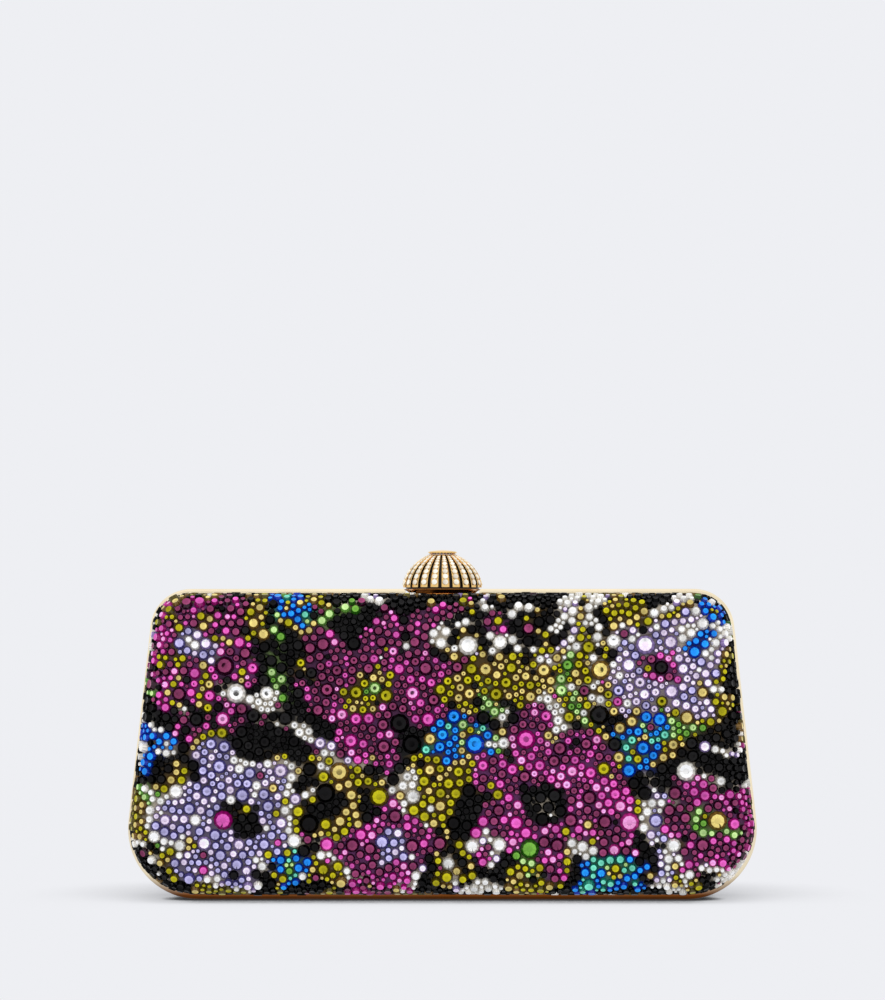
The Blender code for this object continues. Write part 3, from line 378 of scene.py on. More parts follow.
def object_from(name, shape):
    """An object of a bmesh or a mesh, in the scene. A bmesh is freed."""
    if isinstance(shape, bmesh.types.BMesh):
        mesh = bpy.data.meshes.new(name)
        shape.to_mesh(mesh)
        shape.free()
    else:
        mesh = shape
    made = bpy.data.objects.new(name, mesh)
    bpy.context.scene.collection.objects.link(made)
    return made


def settled(made):
    """Turns an object with modifiers into a plain mesh under the same name."""
    graph = bpy.context.evaluated_depsgraph_get()
    mesh = bpy.data.meshes.new_from_object(
        made.evaluated_get(graph), preserve_all_data_layers=True, depsgraph=graph
    )
    name = made.name
    old = made.data
    bpy.data.objects.remove(made)
    if old.users == 0 and isinstance(old, bpy.types.Mesh):
        bpy.data.meshes.remove(old)
    mesh.name = name
    return object_from(name, mesh)


def smooth(made, angle=35):
    """Smooth shading between sharp edges."""
    made.data.shade_smooth()
    made.data.set_sharp_from_angle(angle=math.radians(angle))
    return made


def bridge(shape, lower, upper):
    """Faces between two closed rows of points. A row that is one point on the axis takes triangles."""
    for at in range(len(lower)):
        after = (at + 1) % len(lower)
        corners = dict.fromkeys((lower[at], lower[after], upper[after], upper[at]))
        if len(corners) > 2:
            shape.faces.new(tuple(corners))


def tray(name, side, wall_at, floor_at, rim, thick, detail):
    """One layer of a half: an open surface through the rings, thickened inwards."""
    shape = bmesh.new()
    rows = []
    for ring in tray_rings(wall_at, floor_at, rim, *detail):
        rows.append([shape.verts.new((x, side * depth, z)) for x, depth, z in ring])
    middle = shape.verts.new((0.0, side * (FLAT_TOP - floor_at + CROWN), CASE_MIDDLE))
    rows.append([middle] * len(rows[0]))
    for lower, upper in zip(rows, rows[1:]):
        bridge(shape, lower, upper)
    if side == BACK:
        bmesh.ops.reverse_faces(shape, faces=shape.faces)
    made = object_from(name, shape)
    wall = made.modifiers.new("Wall", "SOLIDIFY")
    wall.thickness = thick
    wall.offset = -1.0
    wall.use_even_offset = True
    return smooth(settled(made), 50)


def ring_sweep(name, section, steps, side):
    """A closed ring: a section of (inset, depth) points taken round the outline."""
    shape = bmesh.new()
    rows = []
    for inset, depth in section:
        rows.append([shape.verts.new((x, side * depth, z)) for x, z in outline(inset, *steps)])
    for lower, upper in zip(rows, rows[1:] + rows[:1]):
        bridge(shape, lower, upper)
    bmesh.ops.recalc_face_normals(shape, faces=shape.faces)
    return object_from(name, shape)


def lathe(name, profile, sides):
    """A profile of (radius, z) turned about the knob's axis. Unless it starts on the axis, it closes."""
    shape = bmesh.new()
    turns = [2 * math.pi * at / sides for at in range(sides)]
    rows = []
    for radius, z in profile:
        if radius == 0.0:
            rows.append([shape.verts.new((0.0, 0.0, z))] * sides)
            continue
        rows.append([shape.verts.new((radius * math.cos(a), radius * math.sin(a), z)) for a in turns])
    if profile[0][0] != 0.0:
        rows.append(rows[0])
    for lower, upper in zip(rows, rows[1:]):
        bridge(shape, lower, upper)
    bmesh.ops.recalc_face_normals(shape, faces=shape.faces)
    return object_from(name, shape)


def block(name, low, high):
    """A box between two corners, as a cutter."""
    shape = bmesh.new()
    bmesh.ops.create_cube(shape, size=1.0)
    bmesh.ops.scale(shape, vec=[b - a for a, b in zip(low, high)], verts=shape.verts)
    bmesh.ops.translate(shape, vec=[(a + b) / 2 for a, b in zip(low, high)], verts=shape.verts)
    return object_from(name, shape)


def drill(name, radius, start, end, across, axis, sides=48):
    """A round cutter along X or Z from start to end, its axis at across in the other two directions."""
    shape = bmesh.new()
    bmesh.ops.create_cone(
        shape, cap_ends=True, segments=sides, radius1=radius, radius2=radius, depth=end - start
    )
    middle = (start + end) / 2
    if axis == "X":
        place = Matrix.Translation((middle, *across)) @ Matrix.Rotation(math.pi / 2, 4, "Y")
    else:
        place = Matrix.Translation((*across, middle))
    bmesh.ops.transform(shape, matrix=place, verts=shape.verts)
    return object_from(name, shape)


def prism(name, points, reach):
    """A cutter of (y, z) points drawn out along X to both sides."""
    shape = bmesh.new()
    ends = [[shape.verts.new((x, y, z)) for y, z in points] for x in (-reach, reach)]
    shape.faces.new(ends[0])
    shape.faces.new(ends[1][::-1])
    for at in range(len(points)):
        after = (at + 1) % len(points)
        shape.faces.new((ends[0][at], ends[1][at], ends[1][after], ends[0][after]))
    bmesh.ops.recalc_face_normals(shape, faces=shape.faces)
    return object_from(name, shape)


def carve(made, cutters):
    """Takes the cutters away from a piece and removes them."""
    for cutter in cutters:
        step = made.modifiers.new("Cut", "BOOLEAN")
        step.operation = "DIFFERENCE"
        step.solver = "EXACT"
        step.object = cutter
    made = settled(made)
    for cutter in cutters:
        bpy.data.objects.remove(cutter)
    return made


def quarter(inset, depth, inset_sign, depth_sign, radius, steps):
    """Points of a rounded edge of the frame section, starting on the face across the depth."""
    points = []
    for at in range(steps + 1):
        turn = math.pi / 2 * at / steps
        along = inset + inset_sign * radius * (1 - math.sin(turn))
        points.append((along, depth + depth_sign * radius * (1 - math.cos(turn))))
    return points


# Shader nodes and materials


def feed(tree, node, inputs):
    """Sets a node's inputs, by name or place, to numbers, colours or sockets."""
    for name, value in inputs.items():
        socket = node.inputs[name]
        if isinstance(value, bpy.types.NodeSocket):
            tree.links.new(value, socket)
        elif isinstance(value, tuple) and socket.type == "RGBA" and len(value) == 3:
            socket.default_value = (*value, 1.0)
        else:
            socket.default_value = value


def put(tree, kind, options=None, inputs=None):
    """Adds a node with its options and inputs."""
    made = tree.nodes.new(kind)
    for name, value in (options or {}).items():
        setattr(made, name, value)
    feed(tree, made, inputs or {})
    return made


def math_of(tree, operation, first, second=0.0, clamp=False):
    """The output of a Math node."""
    options = {"operation": operation, "use_clamp": clamp}
    return put(tree, "ShaderNodeMath", options, {0: first, 1: second}).outputs[0]


def times(tree, first, second):
    """The product of two values."""
    return math_of(tree, "MULTIPLY", first, second)


def plus(tree, first, second):
    """The sum of two values."""
    return math_of(tree, "ADD", first, second)


def blend_of(tree, share, first, second, kind="MIX"):
    """The output of a colour Mix node."""
    options = {"data_type": "RGBA", "blend_type": kind}
    return put(tree, "ShaderNodeMix", options, {0: share, 6: first, 7: second}).outputs[2]


def shaded(tree, colour, shade):
    """A colour multiplied by a shade."""
    return blend_of(tree, 1.0, colour, shade, "MULTIPLY")


def range_of(tree, value, low, high, to_low=0.0, to_high=1.0):
    """The output of a clamped Map Range node."""
    inputs = {"Value": value, "From Min": low, "From Max": high, "To Min": to_low, "To Max": to_high}
    return put(tree, "ShaderNodeMapRange", {"clamp": True}, inputs).outputs[0]


def object_place(tree):
    """The piece's own coordinates, in metres."""
    return put(tree, "ShaderNodeTexCoord").outputs["Object"]


def noise_of(tree, place, scale, detail=2.0, rough=0.5, stretch=None):
    """The output of a Noise node, stretched along axes by a Mapping node where asked."""
    if stretch:
        place = put(tree, "ShaderNodeMapping", None, {"Vector": place, "Scale": stretch}).outputs[0]
    inputs = {"Vector": place, "Scale": scale, "Detail": detail, "Roughness": rough}
    return put(tree, "ShaderNodeTexNoise", None, inputs).outputs["Fac"]


def effect(name, inputs, outputs):
    """A new shader node group with its sockets, as (tree, inputs node, outputs node)."""
    tree = bpy.data.node_groups.new(name, "ShaderNodeTree")
    for title, kind, default in inputs:
        socket = tree.interface.new_socket(title, in_out="INPUT", socket_type=kind)
        socket.default_value = (*default, 1.0) if isinstance(default, tuple) else default
    for title, kind in outputs:
        tree.interface.new_socket(title, in_out="OUTPUT", socket_type=kind)
    return tree, tree.nodes.new("NodeGroupInput"), tree.nodes.new("NodeGroupOutput")


COLOUR = "NodeSocketColor"
NUMBER = "NodeSocketFloat"


def parts_of(tree, vector):
    """The outputs X, Y and Z of a vector."""
    return put(tree, "ShaderNodeSeparateXYZ", None, {0: vector}).outputs


def vector_of(tree, x=0.0, y=0.0, z=0.0):
    """A vector of three values."""
    return put(tree, "ShaderNodeCombineXYZ", None, {0: x, 1: y, 2: z}).outputs[0]


def reach_of(tree, parts):
    """How far a place lies from the Z axis."""
    flat = vector_of(tree, parts["X"], parts["Y"])
    return put(tree, "ShaderNodeVectorMath", {"operation": "LENGTH"}, {0: flat}).outputs["Value"]


def stored(tree, name, output="Fac"):
    """A named attribute of the mesh, in a material."""
    return put(tree, "ShaderNodeAttribute", {"attribute_name": name}).outputs[output]


def handling_effect():
    """Fine scratches and smudges of a thing that is held a lot: a smudge mask, a roughness and a height."""
    tree, given, out = effect(
        "handling",
        (("Smooth", NUMBER, 0.1), ("Rough", NUMBER, 0.25), ("Smudge size", NUMBER, 90.0)),
        (("Smudge", NUMBER), ("Roughness", NUMBER), ("Height", NUMBER)),
    )
    place = object_place(tree)
    smudge = range_of(tree, noise_of(tree, place, given.outputs["Smudge size"], 4.0, 0.6), 0.42, 0.7)
    along = noise_of(tree, place, 260.0, 3.0, 0.6, (1.0, 14.0, 14.0))
    across = noise_of(tree, place, 240.0, 3.0, 0.6, (16.0, 16.0, 1.0))
    lines = plus(tree, range_of(tree, along, 0.62, 0.72), range_of(tree, across, 0.64, 0.74))
    worn = plus(tree, times(tree, smudge, 0.7), times(tree, lines, 0.3))
    span = math_of(tree, "SUBTRACT", given.outputs["Rough"], given.outputs["Smooth"])
    rough = plus(tree, given.outputs["Smooth"], times(tree, worn, span))
    feed(tree, out, {"Smudge": smudge, "Roughness": rough, "Height": times(tree, lines, -1.0)})
    return tree


def crystal_effect():
    """The look of a foiled crystal: a bright mirrored table, facets in painted shade, painted reflections
    and glow, and a shade of its own.
    """
    outputs = (("Colour", COLOUR), ("Roughness", NUMBER), ("Metallic", NUMBER), ("Sparkle", NUMBER))
    tree, given, out = effect(
        "foiled_crystal",
        (("Table", COLOUR, (0.8, 0.8, 0.8)), ("Facets", COLOUR, (0.3, 0.3, 0.3)), ("Mirror", NUMBER, 0.9)),
        (*outputs, ("Painted_glow", COLOUR)),
    )
    spot = parts_of(tree, stored(tree, "stone_place", "Vector"))
    facet = stored(tree, "facet")
    tint = stored(tree, "tint")
    turn = math_of(tree, "ARCTAN2", spot["Y"], spot["X"])
    # Painted reflections: the facets turn lighter and darker in turn round the stone, and the table a
    # little too
    painted_facet_flashes = math_of(tree, "SINE", times(tree, turn, STONE_FACETS))
    # Painted shade: each facet darkens towards the stone's base, where neighbours and cloth shade it
    painted_base_shade = range_of(tree, spot["Z"], 0.0, 0.3, 0.3, 1.0)
    shade = times(tree, range_of(tree, painted_facet_flashes, -1.0, 1.0, 0.8, 1.2), painted_base_shade)
    rim = shaded(tree, given.outputs["Facets"], shade)
    reach = reach_of(tree, spot)
    # Painted reflection and shade: a darker inner disc and a darker edge, blended towards the facets'
    # colour
    disc = TABLE_SHARE * INNER_DISC
    inner = range_of(tree, reach, disc * 0.94, disc * 1.02, 0.16, 0.0)
    edge = range_of(tree, reach, TABLE_SHARE * 0.86, TABLE_SHARE, 0.0, 0.2)
    painted_disc_and_edge_shade = math_of(tree, "MAXIMUM", inner, edge)
    table = blend_of(tree, painted_disc_and_edge_shade, given.outputs["Table"], given.outputs["Facets"])
    # Painted light: each table is lighter on one side and darker on the other, turned at random with the
    # stone
    painted_side_light = range_of(tree, spot["X"], -TABLE_SHARE, TABLE_SHARE, 0.86, 1.24)
    painted_table_flashes = range_of(tree, painted_facet_flashes, -1.0, 1.0, 0.95, 1.05)
    table = shaded(tree, table, times(tree, painted_side_light, painted_table_flashes))
    own = range_of(tree, tint, 0.0, 1.0, 0.78, 1.34)
    mirror = range_of(tree, facet, 0.0, 1.0, 1.0, 0.4)
    made = {
        "Colour": shaded(tree, blend_of(tree, facet, table, rim), own),
        "Roughness": range_of(tree, facet, 0.0, 1.0, 0.05, 0.16),
        "Metallic": times(tree, given.outputs["Mirror"], mirror),
        "Sparkle": range_of(tree, tint, 0.35, 1.0),
        # Painted glow: the facets' colour is fed to emission, so the rims glow though they are no lamp
        "Painted_glow": blend_of(tree, facet, (0.0, 0.0, 0.0), rim),
    }
    feed(tree, out, made)
    return tree


def cloth_effect():
    """A plain weave: a height, and a shade for its threads."""
    sockets = (("Threads", NUMBER, 2600.0),), (("Height", NUMBER), ("Shade", NUMBER))
    tree, given, out = effect("fine_weave", *sockets)
    place = object_place(tree)
    spot = parts_of(tree, place)
    waves = [math_of(tree, "SINE", times(tree, spot[axis], given.outputs["Threads"])) for axis in "XZ"]
    height = plus(tree, times(tree, *waves), noise_of(tree, place, 900.0, 3.0, 0.6))
    feed(tree, out, {"Height": height, "Shade": range_of(tree, height, -1.0, 2.0, 0.8, 1.1)})
    return tree


def group_of(tree, effect_tree, inputs):
    """Places a shared effect in a material and gives its outputs."""
    return put(tree, "ShaderNodeGroup", {"node_tree": effect_tree}, inputs).outputs


def new_material(name, settings):
    """A Principled material with constant settings, as (material, tree, shader)."""
    made = bpy.data.materials.new(name)
    made.use_nodes = True
    shader = made.node_tree.nodes["Principled BSDF"]
    for key, value in settings.items():
        shader.inputs[key].default_value = value
    return made, made.node_tree, shader


def either(tree, share, first, second):
    """One shader or the other, by a share."""
    return put(tree, "ShaderNodeMixShader", None, {0: share, 1: first, 2: second}).outputs[0]


def bump(tree, shader, height, distance, strength):
    """Feeds a height to the shader's normal."""
    inputs = {"Strength": strength, "Distance": distance, "Height": height}
    feed(tree, shader, {"Normal": put(tree, "ShaderNodeBump", None, inputs).outputs[0]})


def gilt_look(name, effects, colour, foot_shade_and_smudge, smooth_to=0.07, rough_to=0.2):
    """Polished gilt metal with smudges and hairline scratches, painted darker towards its foot as a painted
    reflection of shade.
    """
    made, tree, shader = new_material(name, {"Metallic": 1.0})
    wear = group_of(tree, effects["handling"], {"Smooth": smooth_to, "Rough": rough_to})
    place = object_place(tree)
    patches = noise_of(tree, place, 45.0, 3.0, 0.55)
    # Painted reflection: near the bottom the gilt turns to the deep colour, as if it mirrored the shaded
    # floor
    foot = range_of(tree, parts_of(tree, place)["Z"], 0.0014, 0.008, 1.0, 0.0)
    painted_foot_shade_mask = times(tree, foot, range_of(tree, patches, 0.2, 0.8, 0.97, 1.0))
    base = blend_of(tree, painted_foot_shade_mask, colour, foot_shade_and_smudge)
    cloudy = shaded(tree, base, range_of(tree, patches, 0.3, 0.7, 0.94, 1.05))
    # The deep colour also tints the smudges, which is real dirt
    worn = blend_of(tree, times(tree, wear["Smudge"], 0.1), cloudy, foot_shade_and_smudge)
    feed(tree, shader, {"Base Color": worn, "Roughness": wear["Roughness"]})
    bump(tree, shader, wear["Height"], 0.000004, 0.5)
    return made


def steel_look(name, effects):
    """Bright plated steel with a drawn grain."""
    made, tree, shader = new_material(name, {"Metallic": 1.0})
    wear = group_of(tree, effects["handling"], {"Smooth": 0.18, "Rough": 0.4})
    grain = noise_of(tree, object_place(tree), 700.0, 3.0, 0.6, (1.0, 9.0, 9.0))
    colour = blend_of(tree, grain, srgb(176, 176, 180), srgb(222, 222, 224))
    feed(tree, shader, {"Base Color": colour, "Roughness": wear["Roughness"]})
    bump(tree, shader, plus(tree, grain, wear["Height"]), 0.000006, 0.6)
    return made


def crystal_look(name, effects, table, facets):
    """A foil-backed crystal of one colour, its facets given a faint painted glow."""
    # Painted glow: the crystals emit their facets' colour faintly
    settings = {"Coat Weight": 0.15, "Coat Roughness": 0.03, "Emission Strength": 0.15}
    made, tree, shader = new_material(name, settings)
    foil = group_of(tree, effects["crystal"], {"Table": table, "Facets": facets, "Mirror": 0.94})
    feed(tree, shader, {"Base Color": foil["Colour"], "Emission Color": foil["Painted_glow"]})
    feed(tree, shader, {key: foil[key] for key in ("Roughness", "Metallic")})
    return made


def jet_look(name, effects, table, facets):
    """A black glass crystal, without foil."""
    made, tree, shader = new_material(name, {"Specular IOR Level": 0.07, "Coat Roughness": 0.03})
    glass = group_of(tree, effects["crystal"], {"Table": table, "Facets": facets, "Mirror": 0.0})
    rough = plus(tree, glass["Roughness"], 0.03)
    coat = times(tree, glass["Sparkle"], 0.22)
    feed(tree, shader, {"Base Color": glass["Colour"], "Roughness": rough, "Coat Weight": coat})
    return made


def cloth_look(name, effects):
    """The printed cloth under the crystals, in its own attribute's colours."""
    made, tree, shader = new_material(name, {"Sheen Weight": 0.15, "Specular IOR Level": 0.25})
    weave = group_of(tree, effects["cloth"], {"Threads": 7000.0})
    soil = range_of(tree, noise_of(tree, object_place(tree), 120.0, 4.0, 0.6), 0.3, 0.75, 0.82, 1.06)
    # The print colours are painted darker to stand for the shade between the stones
    colour = shaded(tree, stored(tree, "print_and_shade", "Color"), times(tree, weave["Shade"], soil))
    rough = range_of(tree, weave["Height"], -1.0, 2.0, 0.85, 0.62)
    feed(tree, shader, {"Base Color": colour, "Roughness": rough})
    bump(tree, shader, weave["Height"], 0.00004, 0.6)
    return made


def suede_look(name, colour, dark):
    """Suede: a short nap with brushed light and dark places."""
    made, tree, shader = new_material(name, {"Sheen Weight": 0.45, "Sheen Roughness": 0.4})
    place = object_place(tree)
    nap = noise_of(tree, place, 2400.0, 4.0, 0.7)
    brushed = noise_of(tree, place, 38.0, 4.0, 0.6, (1.0, 1.0, 2.2))
    mix = blend_of(tree, range_of(tree, brushed, 0.3, 0.7), dark, colour)
    mix = shaded(tree, mix, range_of(tree, nap, 0.3, 0.7, 0.86, 1.1))
    feed(tree, shader, {"Base Color": mix, "Roughness": range_of(tree, nap, 0.2, 0.8, 0.96, 0.8)})
    bump(tree, shader, plus(tree, nap, brushed), 0.00008, 0.7)
    return made


def moulded_look(name, effects, colour):
    """Moulded resin with a fine spark-eroded grain."""
    made, tree, shader = new_material(name, {"Specular IOR Level": 0.4})
    wear = group_of(tree, effects["handling"], {"Smooth": 0.42, "Rough": 0.62})
    place = object_place(tree)
    cloud = noise_of(tree, place, 60.0, 3.0, 0.5)
    mix = shaded(tree, colour, range_of(tree, cloud, 0.3, 0.7, 0.85, 1.2))
    feed(tree, shader, {"Base Color": mix, "Roughness": wear["Roughness"]})
    bump(tree, shader, noise_of(tree, place, 1800.0, 3.0, 0.6), 0.00003, 0.5)
    return made


def enamel_look(name, effects, colour):
    """Glossy black enamel with a faint orange-peel surface."""
    settings = {"Specular IOR Level": 0.1, "Coat Weight": 0.1, "Coat Roughness": 0.05}
    made, tree, shader = new_material(name, settings)
    wear = group_of(tree, effects["handling"], {"Smooth": 0.08, "Rough": 0.2})
    mix = blend_of(tree, wear["Smudge"], colour, tuple(c * 1.8 + 0.002 for c in colour))
    feed(tree, shader, {"Base Color": mix, "Roughness": wear["Roughness"]})
    bump(tree, shader, noise_of(tree, object_place(tree), 900.0), 0.00001, 0.4)
    return made


# Repeated pieces


def geometry_tree(name, inputs):
    """A new geometry node group with a geometry in and out and named inputs."""
    tree = bpy.data.node_groups.new(name, "GeometryNodeTree")
    tree.interface.new_socket("Geometry", in_out="OUTPUT", socket_type="NodeSocketGeometry")
    tree.interface.new_socket("Geometry", in_out="INPUT", socket_type="NodeSocketGeometry")
    for title, kind, default in inputs:
        socket = tree.interface.new_socket(title, in_out="INPUT", socket_type=kind)
        if default is not None:
            socket.default_value = default
    return tree, tree.nodes.new("NodeGroupInput"), tree.nodes.new("NodeGroupOutput")


def named(tree, name):
    """The field of a named vector attribute of the points."""
    options = {"data_type": "FLOAT_VECTOR"}
    return put(tree, "GeometryNodeInputNamedAttribute", options, {"Name": name}).outputs["Attribute"]


def marked(tree, geometry, domain, kind, name, value):
    """A geometry with a value stored on it as a named attribute."""
    options = {"data_type": kind, "domain": domain}
    inputs = {"Geometry": geometry, "Name": name, "Value": value}
    return put(tree, "GeometryNodeStoreNamedAttribute", options, inputs).outputs[0]


def spread(tree, given, out, points, piece, angles, **more):
    """Sets a piece on points, realizes it, gives it its material and ends the group."""
    turn = put(tree, "FunctionNodeEulerToRotation", None, {0: angles}).outputs[0]
    inputs = {"Points": points, "Instance": piece, "Rotation": turn, **more}
    set_out = put(tree, "GeometryNodeInstanceOnPoints", None, inputs)
    real = put(tree, "GeometryNodeRealizeInstances", None, {0: set_out.outputs[0]})
    inputs = {"Geometry": real.outputs[0], "Material": given.outputs["Finish"]}
    feed(tree, out, {0: put(tree, "GeometryNodeSetMaterial", None, inputs).outputs[0]})
    return tree


def stone_tree():
    """Sets a cut stone on every point, by its attributes. A flat disc lies low in its table."""
    tree, given, out = geometry_tree(
        "set_stones",
        (
            ("Facets", "NodeSocketInt", STONE_FACETS),
            ("Table share", NUMBER, 0.74),
            ("Dish", NUMBER, 0.075),
            ("Hollow", NUMBER, 0.008),
            ("Finish", "NodeSocketMaterial", None),
        ),
    )
    share = given.outputs["Table share"]
    inputs = {"Vertices": given.outputs["Facets"], "Fill Segments": 2, "Radius Top": share}
    inputs.update({"Radius Bottom": 1.0, "Depth": 1.0})
    stone = put(tree, "GeometryNodeMeshCone", {"fill_type": "TRIANGLE_FAN"}, inputs)
    place = put(tree, "GeometryNodeInputPosition").outputs[0]
    spot = parts_of(tree, place)
    reach = math_of(tree, "DIVIDE", reach_of(tree, spot), share)
    upper = math_of(tree, "GREATER_THAN", spot["Z"], 0.5)
    inner = times(tree, math_of(tree, "LESS_THAN", reach, 0.75), upper)
    central = times(tree, math_of(tree, "LESS_THAN", reach, 0.01), upper)
    hollow = times(tree, central, given.outputs["Hollow"])
    drop = plus(tree, times(tree, inner, given.outputs["Dish"]), hollow)
    draw = times(tree, inner, INNER_DISC * 2 - 1)
    drawn = [times(tree, spot[axis], draw) for axis in "XY"]
    inputs = {"Geometry": stone.outputs["Mesh"], "Offset": vector_of(tree, *drawn, times(tree, drop, -1.0))}
    shape = put(tree, "GeometryNodeSetPosition", None, inputs).outputs[0]
    shape = marked(tree, shape, "POINT", "FLOAT_VECTOR", "stone_place", place)
    shape = marked(tree, shape, "FACE", "FLOAT", "facet", stone.outputs["Side"])
    inputs = {"Geometry": shape, "Shade Smooth": stone.outputs["Top"]}
    shape = put(tree, "GeometryNodeSetShadeSmooth", {"domain": "FACE"}, inputs).outputs[0]
    rim = math_of(tree, "GREATER_THAN", reach, 0.88)
    ring = math_of(tree, "COMPARE", reach, INNER_DISC)
    ring.node.inputs[2].default_value = 0.1
    sharp = times(tree, math_of(tree, "MAXIMUM", rim, ring), upper)
    inputs = {"Geometry": shape, "Selection": sharp, "Shade Smooth": False}
    shape = put(tree, "GeometryNodeSetShadeSmooth", {"domain": "EDGE"}, inputs).outputs[0]
    angles = named(tree, "turn")
    return spread(tree, given, out, given.outputs["Geometry"], shape, angles, Scale=named(tree, "size"))


def ring_tree():
    """Repeats a piece evenly about the knob's axis."""
    inputs = (("Count", "NodeSocketInt", 22), ("Finish", "NodeSocketMaterial", None))
    tree, given, out = geometry_tree("repeat_round", inputs)
    count = given.outputs["Count"]
    one = put(tree, "GeometryNodeGeometryToInstance", None, {0: given.outputs["Geometry"]})
    line = put(tree, "GeometryNodeMeshLine", None, {"Count": count, "Offset": (0.0, 0.0, 0.0)})
    share = math_of(tree, "DIVIDE", put(tree, "GeometryNodeInputIndex").outputs[0], count)
    angles = vector_of(tree, z=times(tree, share, 2 * math.pi))
    return spread(tree, given, out, line.outputs[0], one.outputs[0], angles)


def run_tree(made, tree, values):
    """Runs a geometry node group on an object, its inputs set by name, and settles the result."""
    step = made.modifiers.new("Repeat", "NODES")
    step.node_group = tree
    for item in tree.interface.items_tree:
        if item.in_out == "INPUT" and item.name in values:
            step[item.identifier] = values[item.name]
    return settled(made)


def stones_object(name, stones, tree, finish, facets=STONE_FACETS, table=TABLE_SHARE):
    """One piece of cut stones. Each stone is (place, normal, radius, height, spin, tint)."""
    mesh = bpy.data.meshes.new(name)
    mesh.from_pydata([s[0] for s in stones], [], [])
    turns, sizes, tints = [], [], []
    for _, normal, radius, height, spin, tint in stones:
        face = Vector(normal).to_track_quat("Z", "Y")
        turns.extend((face.to_matrix() @ Matrix.Rotation(spin, 3, "Z")).to_euler("XYZ"))
        sizes.extend((radius, radius, height))
        tints.append(tint)
    for title, kind, values, key in (
        ("turn", "FLOAT_VECTOR", turns, "vector"),
        ("size", "FLOAT_VECTOR", sizes, "vector"),
        ("tint", "FLOAT", tints, "value"),
    ):
        attribute = mesh.attributes.new(title, kind, "POINT")
        attribute.data.foreach_set(key, np.array(values, np.float32))
    values = {"Facets": facets, "Table share": table, "Finish": finish}
    return run_tree(object_from(name, mesh), tree, values)


# Pattern of the crystals


# Wobble of the pattern: half waves in a millimetre and strength in millimetres
WARP_SEED = 11
WARP_WAVES = ((0.05, 3.2), (0.11, 1.5), (0.23, 0.5))
UNWARP_ROUNDS = 24
UNWARP_STEP = 0.6
UNWARP_ERROR = 0.2

# Flowers: twist of the petals, where an edge shows, and places as shares of the reach
PETAL_TWIST = 0.012
EDGE_FROM = -0.35
STREAK_START = 0.3
STREAK_END = 0.86
HEART_SHARE = 0.27
RING_SHARE = 0.2
EYE_SHARE = 0.1

# Ground of the pattern: cells over two spans in millimetres, with the share of each group
CELL_SEED = 5
CELL_COUNT = 400
CELL_SPANS = ((-125, 125), (-25, 125))
CELL_FLATNESS = 1.6
CELL_KINDS = {"olive": 0.37, "jet": 0.46, "plum": 0.05, "clear": 0.12}

# Groups that change places on the back
BACK_SWAPS = (("rose", "lilac"), ("plum", "mauve"), ("blue", "aqua"))


def wobble(x, z):
    """A smooth irregular shift of a place, in millimetres."""
    total_x = np.zeros_like(x)
    total_z = np.zeros_like(z)
    rng = np.random.default_rng(WARP_SEED)
    for wave, strength in WARP_WAVES:
        for _ in range(3):
            heading = rng.uniform(0, 2 * math.pi)
            phase = rng.uniform(0, 2 * math.pi, 2)
            run = (x * math.cos(heading) + z * math.sin(heading)) * wave * math.pi
            total_x += strength * np.sin(run + phase[0]) / 2
            total_z += strength * np.sin(run * 1.3 + phase[1]) / 2
    return x + total_x, z + total_z


def unwarped(x, z):
    """The places that the wobble moves to the given ones, and whether each was found."""
    place_x, place_z = x.copy(), z.copy()
    for _ in range(UNWARP_ROUNDS):
        moved_x, moved_z = wobble(place_x, place_z)
        place_x += (x - moved_x) * UNWARP_STEP
        place_z += (z - moved_z) * UNWARP_STEP
    return place_x, place_z, np.hypot(x - moved_x, z - moved_z) < UNWARP_ERROR


def bent_line(x, z, start_x, start_z, end_x, end_z, bend):
    """How far along (0 to 1) and how far beside a bent line each place lies."""
    run_x = end_x - start_x
    run_z = end_z - start_z
    length = math.hypot(run_x, run_z)
    along = ((x - start_x) * run_x + (z - start_z) * run_z) / length**2
    beside = (-(x - start_x) * run_z + (z - start_z) * run_x) / length
    return along, beside - bend * 4 * along * (1 - along)


def petal_limit(angle, reach, petals):
    """How far a flower reaches at an angle."""
    return reach * (0.52 + 0.48 * np.abs(np.cos(petals * angle / 2)) ** 0.6)


def on_line(along, beside, reach):
    """Where places lie beside a line by less than a reach, between its ends."""
    return (along > 0) & (along < 1) & (np.abs(beside) < reach)


def edged(angle, middle_x):
    """Where a flower has an edge of its own colour."""
    return np.sin(angle * 3 + middle_x) > EDGE_FROM


